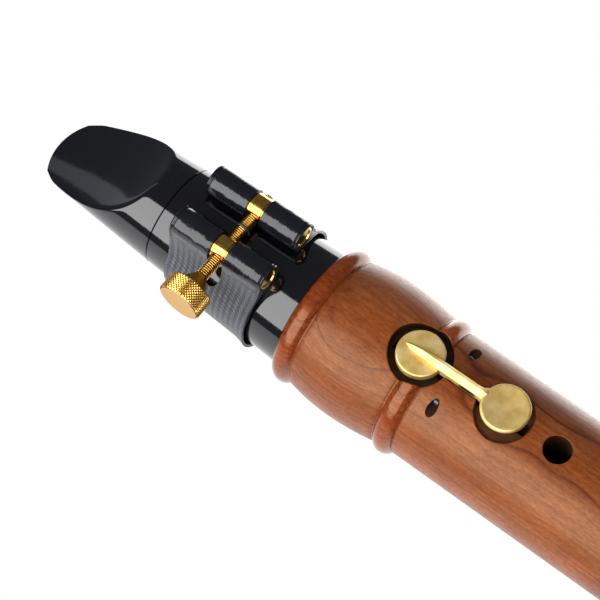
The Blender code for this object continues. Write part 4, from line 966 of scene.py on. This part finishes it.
# The hinge pin is dark drawn steel, cut off and rounded at its ends, with fine lines along it.
# The leaf spring is blued strip, and it and its brass rivet keep their solids and get their metals.
steel, tree, shader = new_finish("blued_steel", "#5C5A5B", 0.4, 1.0)
place = node(tree, "TexCoord").outputs["Object"]
drawn = node(tree, "Mapping", {"Vector": place, "Scale": (300, 6000, 6000)})
lines = node(tree, "TexNoise", {"Vector": drawn, "Scale": 1.0, "Detail": 2.0})
gloss = node(tree, "MapRange", {0: lines, 1: 0.3, 2: 0.7, 3: 0.34, 4: 0.5})
wire(shader, {"Roughness": gloss})
pin_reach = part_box("key_pin")[1].x
pin_outline = [(0.0, -pin_reach)]
for angle in (0.4, 0.8, 1.2, 1.57):
    pin_outline.append((0.0010 * math.sin(angle), -pin_reach + 0.0006 * (1 - math.cos(angle))))
pin_outline += [(radius, -along) for radius, along in pin_outline[::-1]]
pin = turn("hinge_pin", pin_outline, [steel], 48, place=across_body)
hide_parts("key_pin")
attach(pin, "wooden_body")
for name, finish in (("key_spring", steel), ("spring_rivet", satin)):
    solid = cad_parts[name]
    solid.data.materials.clear()
    solid.data.materials.append(finish)

# The set is a pale round floor of matt paper under the foot, and a white surround about it.
# Only the camera sees the surround, so it lights nothing and shows in no gloss.
paper = new_finish("pale_paper", "#E9E9E7", 0.9)[0]
floor = turn("floor", [(0.0, -0.01), (0.6, -0.01), (0.6, -0.0001), (0.0, -0.0001)], [paper])
floor.visible_glossy = False
white = bpy.data.materials.new("white_surround")
white.use_nodes = True
white.node_tree.nodes.clear()
glow = node(white.node_tree, "Emission", {"Color": (1, 1, 1, 1), "Strength": 1.0})
node(white.node_tree, "OutputMaterial", {"Surface": glow})
dome = [(3.0 * math.sin(math.pi * i / 24), -3.0 * math.cos(math.pi * i / 24)) for i in range(25)]
dome[0], dome[-1] = (0.0, -3.0), (0.0, 3.0)
surround = turn("surround", dome, [white], 48)
for ray in ("diffuse", "glossy", "transmission", "volume_scatter", "shadow"):
    setattr(surround, "visible_" + ray, False)

# The camera stands in front and a little below, turned so that the instrument lies across the picture.
# Its distance and lens come from the widths of the body and the mouthpiece in the photograph.
rise, swing, roll, distance = math.radians(14.85), math.radians(20.0), math.radians(145.0), 0.4908
target = Vector((0.0, 0.0, RIM + 0.0043))
toward = Vector((-math.sin(swing) * math.cos(rise), -math.cos(swing) * math.cos(rise), -math.sin(rise)))
level = (-toward).cross(Vector((0.0, 0.0, 1.0))).normalized()
above = level.cross(-toward).normalized()
right = math.cos(roll) * above + math.sin(roll) * level
up = math.sin(roll) * above - math.cos(roll) * level
lens = bpy.data.cameras.new("camera")
lens.sensor_width = 36.0
lens.lens = 132.0
lens.clip_start = 0.01
camera = bpy.data.objects.new("camera", lens)
bpy.context.scene.collection.objects.link(camera)


def standing(columns, spot):
    """A placement made of three directions and a spot."""
    return Matrix([[column[i] for column in (*columns, spot)] for i in range(3)] + [[0, 0, 0, 1]])


camera.matrix_world = standing((right, up, toward), target + toward * distance)
bpy.context.scene.camera = camera

# Soft boxes stand round the bore and give the gloss its long bands, with dark gaps between them.
# One lights the key alone, one gives only the wood's shade, and a strip overhead marks the beak.
ahead = Vector((toward.x, toward.y, 0.0)).normalized()
upright = Vector((0.0, 0.0, 1.0))


def panel(name, width, height, radiance, placement):
    """A rectangle of light that the camera doesn't see."""
    data = bpy.data.lights.new(name, "AREA")
    data.shape = "RECTANGLE"
    data.size, data.size_y = width, height
    data.energy = radiance * math.pi * width * height
    box = bpy.data.objects.new(name, data)
    bpy.context.scene.collection.objects.link(box)
    box.visible_camera = False
    box.matrix_world = placement
    return box


def soft_box(name, first, last, low, high, radiance, away=0.8):
    """An upright panel of light between two angles about the bore, counted from the camera.

    low and high are heights above the rim, and the panel faces the bore.
    """
    middle = math.radians((first + last) / 2)
    width = 2 * away * math.tan(math.radians(abs(last - first) / 2))
    outward = ahead * math.cos(middle) + level * math.sin(middle)
    placement = Matrix.Translation(outward * away + upright * (RIM + (low + high) / 2))
    placement = placement @ outward.to_track_quat("Z", "Y").to_matrix().to_4x4()
    return panel(name, width, high - low, radiance, placement)


soft_box("left_box", -65.5, -6.6, -0.65, 1.05, 5.2)
soft_box("under_box", -178.0, -83.5, -0.65, 1.05, 1.25)
soft_box("right_box", 120.0, 178.0, -0.65, 0.56, 3.6)
key_light = soft_box("key_light", 15.0, 75.0, 0.1, 0.85, 0.5, 0.65)
key_pieces = bpy.data.collections.new("key_pieces")
for piece in (cup, touch, arm, lug, tongue):
    key_pieces.objects.link(piece)
key_light.light_linking.receiver_collection = key_pieces
wood_card = soft_box("wood_card", 50.0, 120.0, 0.0, 0.9, 1.2, 0.65)
wood_card.visible_glossy = False
lengthwise = (ahead + 0.395 * level).normalized()
card_spot = ahead * 0.15 + level * 0.309 + upright * (TIP_Z + 1.0)
card_placement = standing((lengthwise, upright.cross(lengthwise), upright), card_spot)
overhead_card = panel("overhead_card", 1.18, 0.0835, 0.55, card_placement)
overhead_card.data.color = (0.86, 0.88, 1.0)
sky = bpy.context.scene.world or bpy.data.worlds.new("studio")
bpy.context.scene.world = sky
sky.use_nodes = True
wire(sky.node_tree.nodes["Background"], {"Color": (0.88, 0.92, 1.0, 1.0), "Strength": 0.14})
bpy.context.scene.view_settings.view_transform = "Standard"
